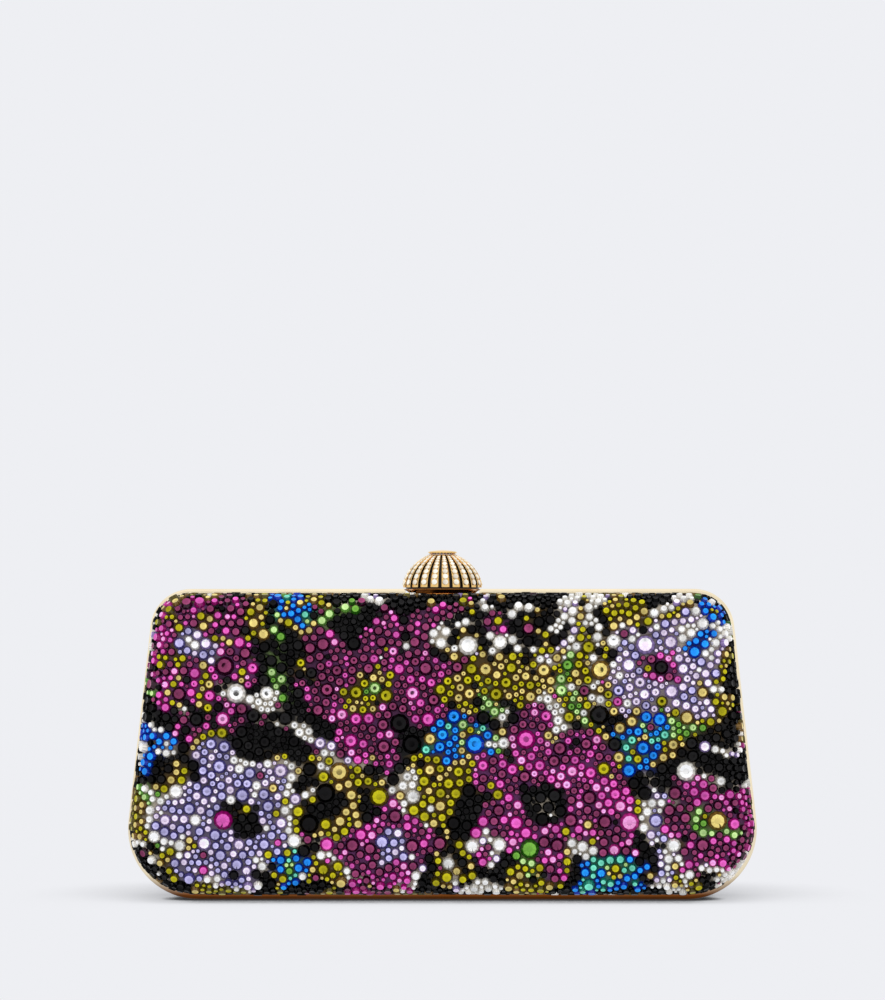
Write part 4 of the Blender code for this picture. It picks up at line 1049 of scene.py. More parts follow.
def group_at(x, z, half):
    """The group of crystals at each place, as a number in GROUP_NAMES. Places are in metres, unfolded."""
    x = np.asarray(x, float) * 1000
    z = np.asarray(z, float) * 1000
    if half == "back":
        x = -x
    x, z = wobble(x, z)
    number = {name: at for at, name in enumerate(GROUP_NAMES)}

    rng = np.random.default_rng(CELL_SEED)
    cells = np.stack([rng.uniform(*span, CELL_COUNT) for span in CELL_SPANS], 1)
    kinds = [number[name] for name in CELL_KINDS]
    kinds = rng.choice(kinds, CELL_COUNT, p=list(CELL_KINDS.values()))
    away = (x[..., None] - cells[:, 0]) ** 2 + CELL_FLATNESS * (z[..., None] - cells[:, 1]) ** 2
    found = kinds[np.argmin(away, axis=-1)]

    for *ends, wide, bend, blade, rib in LEAVES:
        along, beside = bent_line(x, z, *ends, bend)
        inside = on_line(along, beside, wide * np.sin(math.pi * np.clip(along, 0, 1)) ** 0.7)
        found = np.where(inside, number[blade], found)
        found = np.where(inside & (np.abs(beside) < STRING_HALF), number[rib], found)

    for middle_x, middle_z, reach, petals, turn, petal, streak, edge, heart, eye in FLOWERS:
        away = np.hypot(x - middle_x, z - middle_z)
        angle = np.arctan2(z - middle_z, x - middle_x) + turn + away * PETAL_TWIST
        limit = petal_limit(angle, reach, petals)
        inside = away < limit
        beside = np.abs(np.sin(petals * angle / 2)) * away * 2 / petals
        for where, group in (
            (inside, petal),
            (inside & (beside < STRING_HALF) & (away < STREAK_END * limit), streak),
            (inside & (away > limit - 2 * STRING_HALF) & edged(angle, middle_x), edge),
            (away < reach * HEART_SHARE, heart),
            (away < reach * EYE_SHARE, eye),
        ):
            found = np.where(where, number[group], found)

    for *ends, bend in STRINGS:
        found = np.where(on_line(*bent_line(x, z, *ends, bend), STRING_HALF), number["clear"], found)

    if half == "back":
        swap = {a: b for one, other in BACK_SWAPS for a, b in ((one, other), (other, one))}
        found = np.array([number[swap.get(name, name)] for name in GROUP_NAMES])[found]
    return found


# Packing of the crystals

BASE_WALL = FRAME_PROUD + COVER_AT
BASE_ROUND = EDGE_ROUND - COVER_AT
BASE_ARC = FLAT_TOP - COVER_AT - BASE_ROUND

# Diameters of the smaller crystals and the share of the area that each takes, on the face and at the edge
STONE_SIZES = (0.0039, 0.0031, 0.00265, 0.0022, 0.0018)
FACE_SHARES = (0.10, 0.33, 0.25, 0.19, 0.13)
EDGE_SHARES = (0.03, 0.17, 0.25, 0.30, 0.25)
FACE_AREA = 0.0143
EDGE_AREA = 0.0102

# Pushing the stones apart
ROW_EASE = 0.05
ROW_GAP = 0.00003
STONE_GAP = 0.00002
NEAR_MARGIN = 0.0007
RIM_SHARE = 0.96
WELL_NEAR = 0.012
ROUNDS = 24
PUSHES = 10
PUSH_SHARE = 0.7
START_SHARE = 0.7
GROWN_BY = 0.6
SPREAD = 1.08
SWELL = 1.16

# Fitting: how much stones may overlap, and the least share of their size that they keep
OVERLAP = 1.035
LEAST_FIT = 0.86
LARGER_FIT = 0.95

# Line round the edge on which stones start: its inset and its steps
SEED_INSET = 0.3
SEED_STEPS = (12, 30, 18, 24)

# Small stones in the gaps
FILLER_MOST = 0.0011
FILLER_LEAST = 0.00062
FILLER_TRIES = 24000
FILLER_HOPE = 0.6
FILLER_MOVES = 5
FILLER_STEP = 0.2
FILLER_CELL = 0.003


def inset_of(x, z):
    """How far places lie inside the outline, with the outward direction there."""
    across = np.abs(x)
    lean_x = math.cos(SIDE_LEAN)
    lean_z = math.sin(SIDE_LEAN)
    side = SIDE_REACH - across * lean_x - z * lean_z
    depths = np.stack([side, CASE_HEIGHT - z, z])
    nearest = np.argmin(depths, axis=0)
    inset = np.min(depths, axis=0)
    out_x = np.choose(nearest, [lean_x, 0.0, 0.0])
    out_z = np.choose(nearest, [lean_z, 1.0, -1.0])
    for radius, centre_z, low, high in (
        (TOP_CORNER, CASE_HEIGHT - TOP_CORNER, SIDE_LEAN, math.pi / 2),
        (BOTTOM_CORNER, BOTTOM_CORNER, -math.pi / 2, SIDE_LEAN),
    ):
        from_x = across - side_point(radius, centre_z)
        from_z = z - centre_z
        turn = np.arctan2(from_z, from_x)
        away = np.maximum(np.hypot(from_x, from_z), 1e-9)
        inside = (turn >= low) & (turn <= high)
        inset = np.where(inside, radius - away, inset)
        out_x = np.where(inside, from_x / away, out_x)
        out_z = np.where(inside, from_z / away, out_z)
    return inset, out_x * np.where(x < 0, -1.0, 1.0), out_z


def laid_on(places):
    """Moves places (x, depth, z) onto the cloth, with their normals and unfolded (x, z)."""
    x, depth, z = places[:, 0].copy(), places[:, 1].copy(), places[:, 2].copy()
    inset, out_x, out_z = inset_of(x, z)
    within = inset - BASE_WALL
    raised = crown(x, z)
    up = depth - raised - BASE_ARC
    from_x = np.minimum(within - BASE_ROUND, 0.0)
    away = np.maximum(np.hypot(from_x, np.maximum(up, 0.0)), 1e-9)
    on_wall = up <= 0
    on_face = (~on_wall) & (within >= BASE_ROUND)
    new_within = np.where(on_wall, 0.0, np.where(on_face, within, BASE_ROUND + from_x / away * BASE_ROUND))
    new_up = np.where(on_wall, up, np.where(on_face, BASE_ROUND, np.maximum(up, 0.0) / away * BASE_ROUND))
    shift = within - new_within
    x += out_x * shift
    z += out_z * shift
    depth = BASE_ARC + new_up + raised
    lean = np.where(on_wall, 1.0, np.where(on_face, 0.0, -from_x / away))
    face = np.sqrt(np.maximum(1 - lean**2, 0.0))
    slope_x = CROWN * 8 * x / CASE_WIDTH**2 * face
    slope_z = CROWN * 2 * (z / CASE_MIDDLE - 1) / CASE_MIDDLE * face
    normals = np.stack([out_x * lean + slope_x, face, out_z * lean + slope_z], 1)
    normals /= np.linalg.norm(normals, axis=1)[:, None]
    arc = np.arccos(np.clip(face, 0, 1)) * BASE_ROUND
    unfolded = np.where(on_wall, BASE_ROUND * (math.pi / 2 - 1) - new_up, arc - BASE_ROUND * lean)
    flat = np.stack([x + out_x * unfolded, z + out_z * unfolded], 1)
    return np.stack([x, depth, z], 1), normals, flat


def scatter(number):
    """A share from 0 to 1 that looks random and stays the same for a number."""
    return math.sin(number * 12.9898) * 43758.5453 % 1.0


def main_stones():
    """The main stones of a face, which the solids have too, as places (x, depth, z) and radii."""
    places, radii = [], []
    step = MAIN_STONE_PITCH * math.sqrt(0.75)
    rows = math.ceil(CASE_MIDDLE / step)
    columns = math.ceil(CASE_WIDTH / MAIN_STONE_PITCH / 2)
    for row in range(-rows, rows + 1):
        for column in range(-columns, columns + 1):
            number = 101 * row + column
            heading = 2 * math.pi * scatter(number + 0.3)
            away = MAIN_STONE_STRAY * scatter(number + 0.6)
            x = (column + row % 2 / 2) * MAIN_STONE_PITCH + away * math.cos(heading)
            z = CASE_MIDDLE + row * step + away * math.sin(heading)
            kind = scatter(number + 0.9)
            radius = next(width for share, width in MAIN_STONE_KINDS if kind < share) / 2
            inset = inset_of(np.array([x]), np.array([z]))[0][0]
            if inset >= FRAME_PROUD + EDGE_ROUND + radius:
                places.append((x, FLAT_TOP + CROWN, z))
                radii.append(radius)
    return np.array(places), np.array(radii)


def pattern_lines():
    """The pattern's lines as dense rows of (x, z) in millimetres."""
    share = np.linspace(0.0, 1.0, 240)
    lines = []
    bent = [row[:5] for row in STRINGS] + [row[:4] + row[5:6] for row in LEAVES]
    for start_x, start_z, end_x, end_z, bend in bent:
        length = math.hypot(end_x - start_x, end_z - start_z)
        out = bend * 4 * share * (1 - share) / length
        x = start_x + (end_x - start_x) * share - (end_z - start_z) * out
        z = start_z + (end_z - start_z) * share + (end_x - start_x) * out
        lines.append((x, z))
    for middle_x, middle_z, reach, petals, turn, *_ in FLOWERS:
        ring = share * 2 * math.pi
        limit = petal_limit(ring, reach, petals) - STRING_HALF
        rim = edged(ring, middle_x)
        rows = [(ring[rim], limit[rim]), (ring, reach * RING_SHARE + 0 * ring)]
        away = reach * (STREAK_START + (STREAK_END - STREAK_START) * share)
        rows += [(2 * math.pi * at / petals + 0 * share, away) for at in range(petals)]
        for angle, away in rows:
            heading = angle - turn - away * PETAL_TWIST
            lines.append((middle_x + away * np.cos(heading), middle_z + away * np.sin(heading)))
    return lines


def row_stones(half):
    """Stones set one after the other along the pattern's lines, as places (x, depth, z) and radii."""
    places, radii = main_stones()
    first = len(places)
    places, radii = list(places), list(radii)
    for x, z in pattern_lines():
        x, z, found = unwarped(x, z)
        if half == "back":
            x = -x
        for at in np.flatnonzero(found):
            radius = ROW_RADII[len(places) % len(ROW_RADII)] / 1000
            place = np.array([x[at] / 1000, FLAT_TOP + CROWN, z[at] / 1000])
            inset = inset_of(place[:1], place[2:])[0][0]
            if inset < FRAME_PROUD + EDGE_ROUND + radius:
                continue
            apart = np.hypot(*(np.array(places)[:, [0, 2]] - place[[0, 2]]).T)
            if np.all(apart > np.array(radii) + radius + ROW_GAP):
                places.append(place)
                radii.append(radius)
    return np.array(places[first:]), np.array(radii[first:])


def seeded(rng, count, edge):
    """Random places over the face, or round its edge and wall."""
    if not edge:
        x = rng.uniform(-CASE_WIDTH / 2, CASE_WIDTH / 2, count * 3)
        z = rng.uniform(0.0, CASE_HEIGHT, count * 3)
        inside = inset_of(x, z)[0] > BASE_WALL + BASE_ROUND
        return np.stack([x[inside], np.full(inside.sum(), FLAT_TOP + CROWN), z[inside]], 1)[:count]
    ring = np.array(outline(BASE_WALL + BASE_ROUND * SEED_INSET, *SEED_STEPS))
    at = rng.uniform(0, len(ring), count)
    low = at.astype(int)
    share = (at - low)[:, None]
    line = ring[low] * (1 - share) + ring[(low + 1) % len(ring)] * share
    run = rng.uniform(TRAY_RIM - BASE_ARC, BASE_ROUND * math.pi / 2, count)
    turn = np.clip(run / BASE_ROUND, 0, math.pi / 2)
    inset, out_x, out_z = inset_of(line[:, 0], line[:, 1])
    shift = inset - BASE_WALL - BASE_ROUND * (1 - np.cos(turn))
    depth = BASE_ARC + np.where(run < 0, run, BASE_ROUND * np.sin(turn))
    return np.stack([line[:, 0] + out_x * shift, depth, line[:, 1] + out_z * shift], 1)


def tree_of(places):
    """A search tree over places."""
    tree = KDTree(len(places))
    for at, place in enumerate(places):
        tree.insert(place, at)
    tree.balance()
    return tree


def near_pairs(places, radii, margin):
    """Pairs of stones that touch or nearly do, the larger one first."""
    tree = tree_of(places)
    pairs = []
    for at, place in enumerate(places):
        size = radii[at]
        for _, other, away in tree.find_range(place, 2 * size + margin):
            if (radii[other], other) < (size, at) and away < size + radii[other] + margin:
                pairs.append((at, other))
    return np.array(pairs)


def kept_clear(places, radii):
    """Keeps stones behind the frame's face and outside the knob's well."""
    places[:, 1] = np.maximum(places[:, 1], TRAY_RIM + radii * RIM_SHARE)
    reach = WELL_RADIUS + radii
    away = np.hypot(places[:, 0], places[:, 1])
    close = (away < reach) & (places[:, 2] > CASE_HEIGHT - WELL_NEAR)
    push = np.where(close, reach / np.maximum(away, 1e-9), 1.0)
    places[:, 0] *= push
    places[:, 1] *= push
    return places


def relaxed(places, radii, ease, rounds, start):
    """Pushes stones apart on the cloth. The free ones grow meanwhile from a share of their size."""
    for turn in range(rounds):
        places, _, _ = laid_on(places)
        share = min(1.0, start + (1 - start) * turn / (rounds * GROWN_BY))
        grown = radii * np.where(ease * radii**2 > 0.5, share, 1.0)
        pairs = near_pairs(places, grown, NEAR_MARGIN)
        first, second = pairs[:, 0], pairs[:, 1]
        total = np.maximum(ease[first] + ease[second], 1e-9)
        back = (ease[first] / total)[:, None]
        ahead = (ease[second] / total)[:, None]
        for _ in range(PUSHES):
            apart = places[second] - places[first]
            away = np.maximum(np.linalg.norm(apart, axis=1), 1e-7)
            push = np.maximum(grown[first] + grown[second] + STONE_GAP - away, 0.0) * PUSH_SHARE
            step = apart / away[:, None] * push[:, None]
            np.add.at(places, first, -step * back)
            np.add.at(places, second, step * ahead)
            places = kept_clear(places, grown)
            places, _, _ = laid_on(places)
    return places


def fitted(places, radii, ease):
    """Drops stones that overlap others much and shrinks those that overlap a little."""
    pairs = near_pairs(places, radii, 0.0)
    first, second = pairs[:, 0], pairs[:, 1]
    share = np.linalg.norm(places[first] - places[second], axis=1) / (radii[first] + radii[second])
    keep = np.ones(len(places), bool)
    keep[second[share < LEAST_FIT]] = False
    fitting = np.ones(len(places))
    used = keep[first] & keep[second]
    np.minimum.at(fitting, second[used], share[used])
    np.minimum.at(fitting, first[used], np.maximum(share[used], LARGER_FIT))
    fitting = np.where(ease > 0, np.minimum(fitting * OVERLAP, 1.0), 1.0)
    return places[keep], (radii * fitting)[keep], ease[keep]


def room_at(tree, radii, place):
    """The largest filler that fits at a place, and the stone that limits it."""
    room, nearest = FILLER_MOST, None
    for spot, other, away in tree.find_range(place, FILLER_MOST + LARGEST_RADIUS):
        if away - radii[other] < room:
            room, nearest = away - radii[other], spot
    return room, nearest


def filled_gaps(rng, places, radii, ease):
    """Adds small stones wherever they still fit, each moved to where it has the most room."""
    count = FILLER_TRIES
    tries = np.concatenate([seeded(rng, count, False), seeded(rng, count, True)])
    tries, _, _ = laid_on(tries)
    tries = kept_clear(tries, np.full(len(tries), FILLER_LEAST))
    tries, _, _ = laid_on(tries)
    tree = tree_of(places)
    added = []
    cells = {}
    for place in tries:
        spot = Vector(place)
        room, nearest = room_at(tree, radii, spot)
        if room < FILLER_LEAST * FILLER_HOPE:
            continue
        for _ in range(FILLER_MOVES):
            if nearest is None:
                break
            moved = spot + (spot - nearest).normalized() * FILLER_LEAST * FILLER_STEP
            wider, other = room_at(tree, radii, moved)
            if wider <= room:
                break
            room, nearest, spot = wider, other, moved
        cell = tuple(int(part // FILLER_CELL) for part in spot)
        for step in itertools.product((-1, 0, 1), repeat=3):
            for other, size in cells.get(tuple(a + b for a, b in zip(cell, step)), ()):
                room = min(room, (spot - other).length - size)
        if room >= FILLER_LEAST:
            added.append((spot, room))
            cells.setdefault(cell, []).append((spot, room))
    if added:
        sizes = np.array([room for _, room in added])
        spots = kept_clear(np.array([tuple(spot) for spot, _ in added]), sizes)
        places = np.concatenate([places, spots])
        radii = np.concatenate([radii, sizes])
        ease = np.concatenate([ease, 1 / sizes**2])
    return places, radii, ease


def swelled(places, radii, ease):
    """Lets the stones that are not main ones grow a little, until they touch."""
    tree = tree_of(places)
    for at in np.flatnonzero(ease):
        room = radii[at] * SWELL
        for _, other, away in tree.find_range(places[at], room + LARGEST_RADIUS):
            if other != at:
                room = min(room, (away - radii[other]) * OVERLAP)
        radii[at] = max(radii[at], room)
    return radii


def packed_stones(seed, fill, half):
    """Places, normals, unfolded places and radii of a half's stones, set close round the main ones."""
    rng = np.random.default_rng(seed)
    fixed, fixed_radii = main_stones()
    rows, row_radii = row_stones(half)
    starts, radii = [fixed, rows], [*fixed_radii, *row_radii]
    room = FACE_AREA * fill - math.pi * (np.array(radii) ** 2).sum()
    for area, shares, edge in ((room, FACE_SHARES, False), (EDGE_AREA * fill, EDGE_SHARES, True)):
        sizes = []
        for diameter, share in zip(STONE_SIZES, shares):
            sizes += [diameter / 2] * round(area * share / (math.pi * diameter**2 / 4))
        starts.append(seeded(rng, len(sizes), edge))
        radii += sizes[: len(starts[-1])]
    places = np.concatenate(starts)
    radii = np.array(radii)
    number = np.arange(len(radii))
    free = np.where(number < len(fixed), 0.0, np.where(number < len(fixed) + len(rows), ROW_EASE, 1.0))
    ease = free / radii**2
    rounds = ROUNDS
    places = relaxed(places, radii, ease, rounds, START_SHARE)
    places, radii, ease = fitted(places, radii, ease)
    places, radii, ease = filled_gaps(rng, places, radii, ease)
    grown = np.where(ease > 0, radii * SPREAD, radii)
    places = relaxed(places, grown, ease, rounds // 2, 1.0)
    places, radii, ease = fitted(places, grown, ease)
    places, radii, ease = filled_gaps(rng, places, radii, ease)
    places, normals, flat = laid_on(places)
    return places, normals, flat, swelled(places, radii, ease)


# Lines of the knob


def dome_point(share, inset):
    """A point (radius, z) of the knob's dome or of one inside it, at a share of the way up."""
    turn = share * math.pi / 2
    power = 2 / DOME_POWER
    radius = (DOME_RADIUS - inset) * math.cos(turn) ** power
    rise = (DOME_HEIGHT - inset) * math.sin(turn) ** power
    return radius, DOME_BASE + rise


def dome_share(radius, inset):
    """The share at which the dome has a given radius."""
    return math.acos((radius / (DOME_RADIUS - inset)) ** (DOME_POWER / 2)) * 2 / math.pi


def dome_line(inset, least_radius, steps):
    """Points of the dome from its base up to its top opening."""
    top = dome_share(least_radius, inset)
    return [dome_point(top * at / steps, inset) for at in range(steps + 1)]


# The add-on


def length_property(name, description, default):
    """A length that a user may change."""
    return bpy.props.FloatProperty(name=name, description=description, default=default, unit="LENGTH")


class ClutchSizes(bpy.types.PropertyGroup):
    """Sizes that a user may change."""

    fill: bpy.props.FloatProperty(
        name="Stone cover", description="Cover of the cloth by stones", default=0.86, min=0.3, max=0.95
    )
    seed: bpy.props.IntProperty(name="Scatter", description="Seed of the stones' scatter", default=7)
    lip_round: length_property("Frame rounding", "Radius of the frame's edge beside the stones", 0.0011)
    seam_round: length_property("Seam rounding", "Radius of the frame's edge at the halves' seam", 0.0006)
    ribs: bpy.props.IntProperty(name="Ribs", description="Ribs of the knob", default=22, min=6)
    rib_share: bpy.props.FloatProperty(
        name="Rib share", description="Share of a rib and its groove that the rib takes", default=0.69
    )
    rib_turn: bpy.props.FloatProperty(
        name="Rib turn", description="Turn of the ribs", default=math.radians(5.9), subtype="ANGLE"
    )


def colour_property(name, description, red, green, blue):
    """A colour that a user may change, by its screen values."""
    return bpy.props.FloatVectorProperty(
        name=name, description=description, default=srgb(red, green, blue), subtype="COLOR"
    )


class ClutchColours(bpy.types.PropertyGroup):
    """Colours that a user may change."""

    gilt: colour_property("Gilt", "Colour of the frames", 250, 235, 201)
    # The deep gilt is a painted shade at the frames' foot, and also the tint of the smudges
    gilt_foot_shade_and_smudge: colour_property("Deep gilt", "Colour of the gilt at the foot", 116, 60, 12)
    gilt_warm: colour_property("Warm gilt", "Colour of the gilt of the knob", 242, 204, 134)
    enamel: colour_property("Enamel", "Colour between the knob's ribs", 16, 12, 12)
    lining: colour_property("Lining", "Colour of the suede", 206, 190, 166)
    shell: colour_property("Shell", "Colour of the moulded shells", 52, 50, 52)
    backdrop: colour_property("Backdrop", "Colour behind the clutch", 238, 239, 243)


SHARED = {}


def looks():
    """The materials and shared effects, made once."""
    if SHARED:
        return SHARED
    colours = bpy.context.scene.clutch_colours
    effects = {"handling": handling_effect(), "crystal": crystal_effect(), "cloth": cloth_effect()}
    gilt = tuple(colours.gilt)
    # The deep gilt paints the shade at the foot and tints the smudges
    foot_shade_and_smudge = tuple(colours.gilt_foot_shade_and_smudge)
    SHARED["gilt"] = gilt_look("polished_gilt", effects, gilt, foot_shade_and_smudge)
    SHARED["warm_gilt"] = gilt_look("warm_gilt", effects, tuple(colours.gilt_warm), foot_shade_and_smudge)
    SHARED["shaded_gilt"] = gilt_look("shaded_gilt", effects, srgb(206, 140, 66), foot_shade_and_smudge)
    SHARED["inner_gilt"] = gilt_look("brushed_gilt", effects, gilt, foot_shade_and_smudge, 0.2, 0.34)
    SHARED["steel"] = steel_look("plated_steel", effects)
    SHARED["cloth"] = cloth_look("printed_cloth", effects)
    lining = tuple(colours.lining)
    SHARED["lining"] = suede_look("suede_lining", lining, tuple(c * 0.72 for c in lining))
    SHARED["shell"] = moulded_look("moulded_resin", effects, tuple(colours.shell))
    SHARED["enamel"] = enamel_look("black_enamel", effects, tuple(colours.enamel))
    for name, (table, facets) in CRYSTALS.items():
        look = jet_look if name == "jet" else crystal_look
        SHARED[name] = look("crystal_" + name, effects, table, facets)
    SHARED["stones"] = stone_tree()
    SHARED["round"] = ring_tree()
    return SHARED


def dressed(made, body, slot, look, *nodes):
    """Gives a finished piece its material and its body, and hides the solids that it stands for. The slot
    is not used.
    """
    made.data.materials.clear()
    made.data.materials.append(look)
    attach(made, body)
    if nodes:
        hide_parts(*nodes)
    return made


class CLUTCH_OT_frames(bpy.types.Operator):
    """Builds the two gilt frames."""

    bl_idname = "clutch.frames"
    bl_label = "Frames"

    def execute(self, context):
        sizes = context.scene.clutch_sizes
        for word, side in HALVES:
            section = quarter(0.0, HALF_GAP, 1, 1, sizes.seam_round, 5)
            section += quarter(0.0, FRAME_FACE, 1, -1, sizes.lip_round, 7)[::-1]
            spigot = FRAME_PROUD + SPIGOT_AT
            section += [
                (spigot, FRAME_FACE),
                (spigot, FRAME_FACE + SPIGOT_LENGTH),
                (FRAME_WIDTH, FRAME_FACE + SPIGOT_LENGTH),
                (FRAME_WIDTH, HALF_GAP + FRAME_CHAMFER),
                (FRAME_WIDTH - FRAME_CHAMFER, HALF_GAP),
            ]
            made = ring_sweep(word + "_gilt_frame", section, (18, 1, 1, 1), side)
            made = smooth(carve(made, self.cutters(side)), 32)
            dressed(made, word + "_half", "gilt", looks()["gilt"], word + "_frame")
        return {"FINISHED"}

    def cutters(self, side):
        """The shapes cut from a frame: hinge seam, hinge pockets, knob's well, bush and screws."""
        apex = HINGE_RISE + HALF_GAP
        drop = 2 * CUT_OVER
        reach = CASE_WIDTH / 2 + CUT_OVER
        made = [prism("seam", [(0.0, apex), (-apex - drop, -drop), (apex + drop, -drop)], reach)]
        seat = PLATE_UNDER if side == BACK else STRIKE_SEAT
        for centre in (-HINGE_PLACE, HINGE_PLACE):
            ends = (centre - HINGE_HALF, centre + HINGE_HALF)
            made.append(drill("pocket", KNUCKLE_POCKET, *ends, (0.0, HINGE_RISE), "X"))
            depths = sorted((-side * CUT_OVER, side * MORTISE_DEPTH))
            low = (ends[0], depths[0], HINGE_RISE)
            high = (ends[1], depths[1], FRAME_WIDTH + CUT_OVER / 2)
            made.append(block("mortise", low, high))
            across = (math.copysign(SCREW_PLACE, centre), side * BAR_MIDDLE)
            made.append(drill("screw", SCREW_HOLE, seat - CUT_OVER, seat + SCREW_LENGTH, across, "Z", 24))
        high = CASE_HEIGHT + CUT_OVER
        made.append(drill("well", WELL_RADIUS, WELL_FLOOR, high, (0.0, 0.0), "Z", 128))
        low = CASE_HEIGHT - FRAME_WIDTH - CUT_OVER / 2
        made.append(drill("bush", BUSH_NOTCH, low, high, (0.0, 0.0), "Z", 48))
        return made


class CLUTCH_OT_cloth(bpy.types.Operator):
    """Builds the printed cloth under the stones."""

    bl_idname = "clutch.cloth"
    bl_label = "Printed cloth"

    def execute(self, context):
        cloths = np.array([GROUPS[name][1] for name in GROUP_NAMES])
        for word, side in HALVES:
            title = word + "_printed_cloth"
            made = tray(title, side, COVER_AT, COVER_AT, TRAY_RIM, COVER_THICK, CLOTH_DETAIL)
            count = len(made.data.vertices)
            places = np.empty(count * 3, np.float32)
            made.data.vertices.foreach_get("co", places)
            places = places.reshape(-1, 3).astype(float)
            places[:, 1] = np.abs(places[:, 1])
            _, _, flat = laid_on(places)
            colours = np.ones((count, 4), np.float32)
            colours[:, :3] = cloths[group_at(flat[:, 0], flat[:, 1], word)]
            attribute = made.data.attributes.new("print_and_shade", "FLOAT_COLOR", "POINT")
            attribute.data.foreach_set("color", colours.ravel())
            dressed(made, word + "_half", "cloth", looks()["cloth"], word + "_cover")
        return {"FINISHED"}


class CLUTCH_OT_stones(bpy.types.Operator):
    """Sets the crystals, one piece for each colour and half."""

    bl_idname = "clutch.stones"
    bl_label = "Crystals"

    def execute(self, context):
        sizes = context.scene.clutch_sizes
        for word, side in HALVES:
            seed = sizes.seed + (side == BACK)
            places, normals, flat, radii = packed_stones(seed, sizes.fill, word)
            rng = np.random.default_rng(seed + 100)
            mixed = flat + rng.normal(0.0, COLOUR_STRAY, flat.shape)
            groups = group_at(mixed[:, 0], mixed[:, 1], word)
            sets = {name: [] for name in CRYSTALS}
            for place, normal, group, radius in zip(places, normals, groups, radii):
                name = self.colour(rng, group)
                sets[name].append(self.stone(rng, side, place, normal, radius))
            for name, stones in sets.items():
                if stones:
                    title = f"{word}_stones_{name}"
                    made = stones_object(title, stones, looks()["stones"], looks()[name])
                    nodes = [word + "_pave"] if name == "jet" else []
                    dressed(made, word + "_half", "crystal", looks()[name], *nodes)
        return {"FINISHED"}

    def colour(self, rng, group):
        """A colour from a group's mixture, or now and then a stray one."""
        names, shares = zip(*GROUPS[GROUP_NAMES[group]][0])
        shares = np.array(shares)
        name = names[rng.choice(len(names), p=shares / shares.sum())]
        return rng.choice(STRAY_COLOURS) if rng.uniform() < STRAY_SHARE else name

    def stone(self, rng, side, place, normal, radius):
        """One stone's place, facing, radius, height, spin and tint. On the face it looks straight ahead."""
        out = np.array([normal[0], side * normal[1], normal[2]])
        level = np.array([min(max((abs(place[0]) - LEVEL_FROM) / LEVEL_SPAN, 0.0), 1.0), 1.0, 1.0])
        facing = out * (level if normal[1] > FACE_NORMAL else 1.0) + rng.normal(0.0, SETTING_TILT, 3)
        sunk = SETTING_SINK + radius**2 / (2 * BASE_ROUND) * (1 - normal[1] ** 8)
        spot = np.array([place[0], side * place[1], place[2]]) - out * sunk
        steep = (1 - normal[1]) ** 2 * (1 - max(-normal[2], TOP_WALL_SHARE * normal[2]))
        height = STONE_LIFT + WALL_LIFT * steep + STONE_RISE * radius + sunk
        return spot, facing, radius, height, rng.uniform(0, math.pi), rng.uniform()


class CLUTCH_OT_lining(bpy.types.Operator):
    """Builds the suede linings."""

    bl_idname = "clutch.lining"
    bl_label = "Linings"

    def execute(self, context):
        for word, side in HALVES:
            sizes = (LINING_AT, LINING_FLOOR_AT, FRAME_FACE, LINING_THICK)
            made = tray(word + "_suede", side, *sizes, LINING_DETAIL)
            dressed(made, word + "_half", "lining", looks()["lining"], word + "_lining")
        return {"FINISHED"}


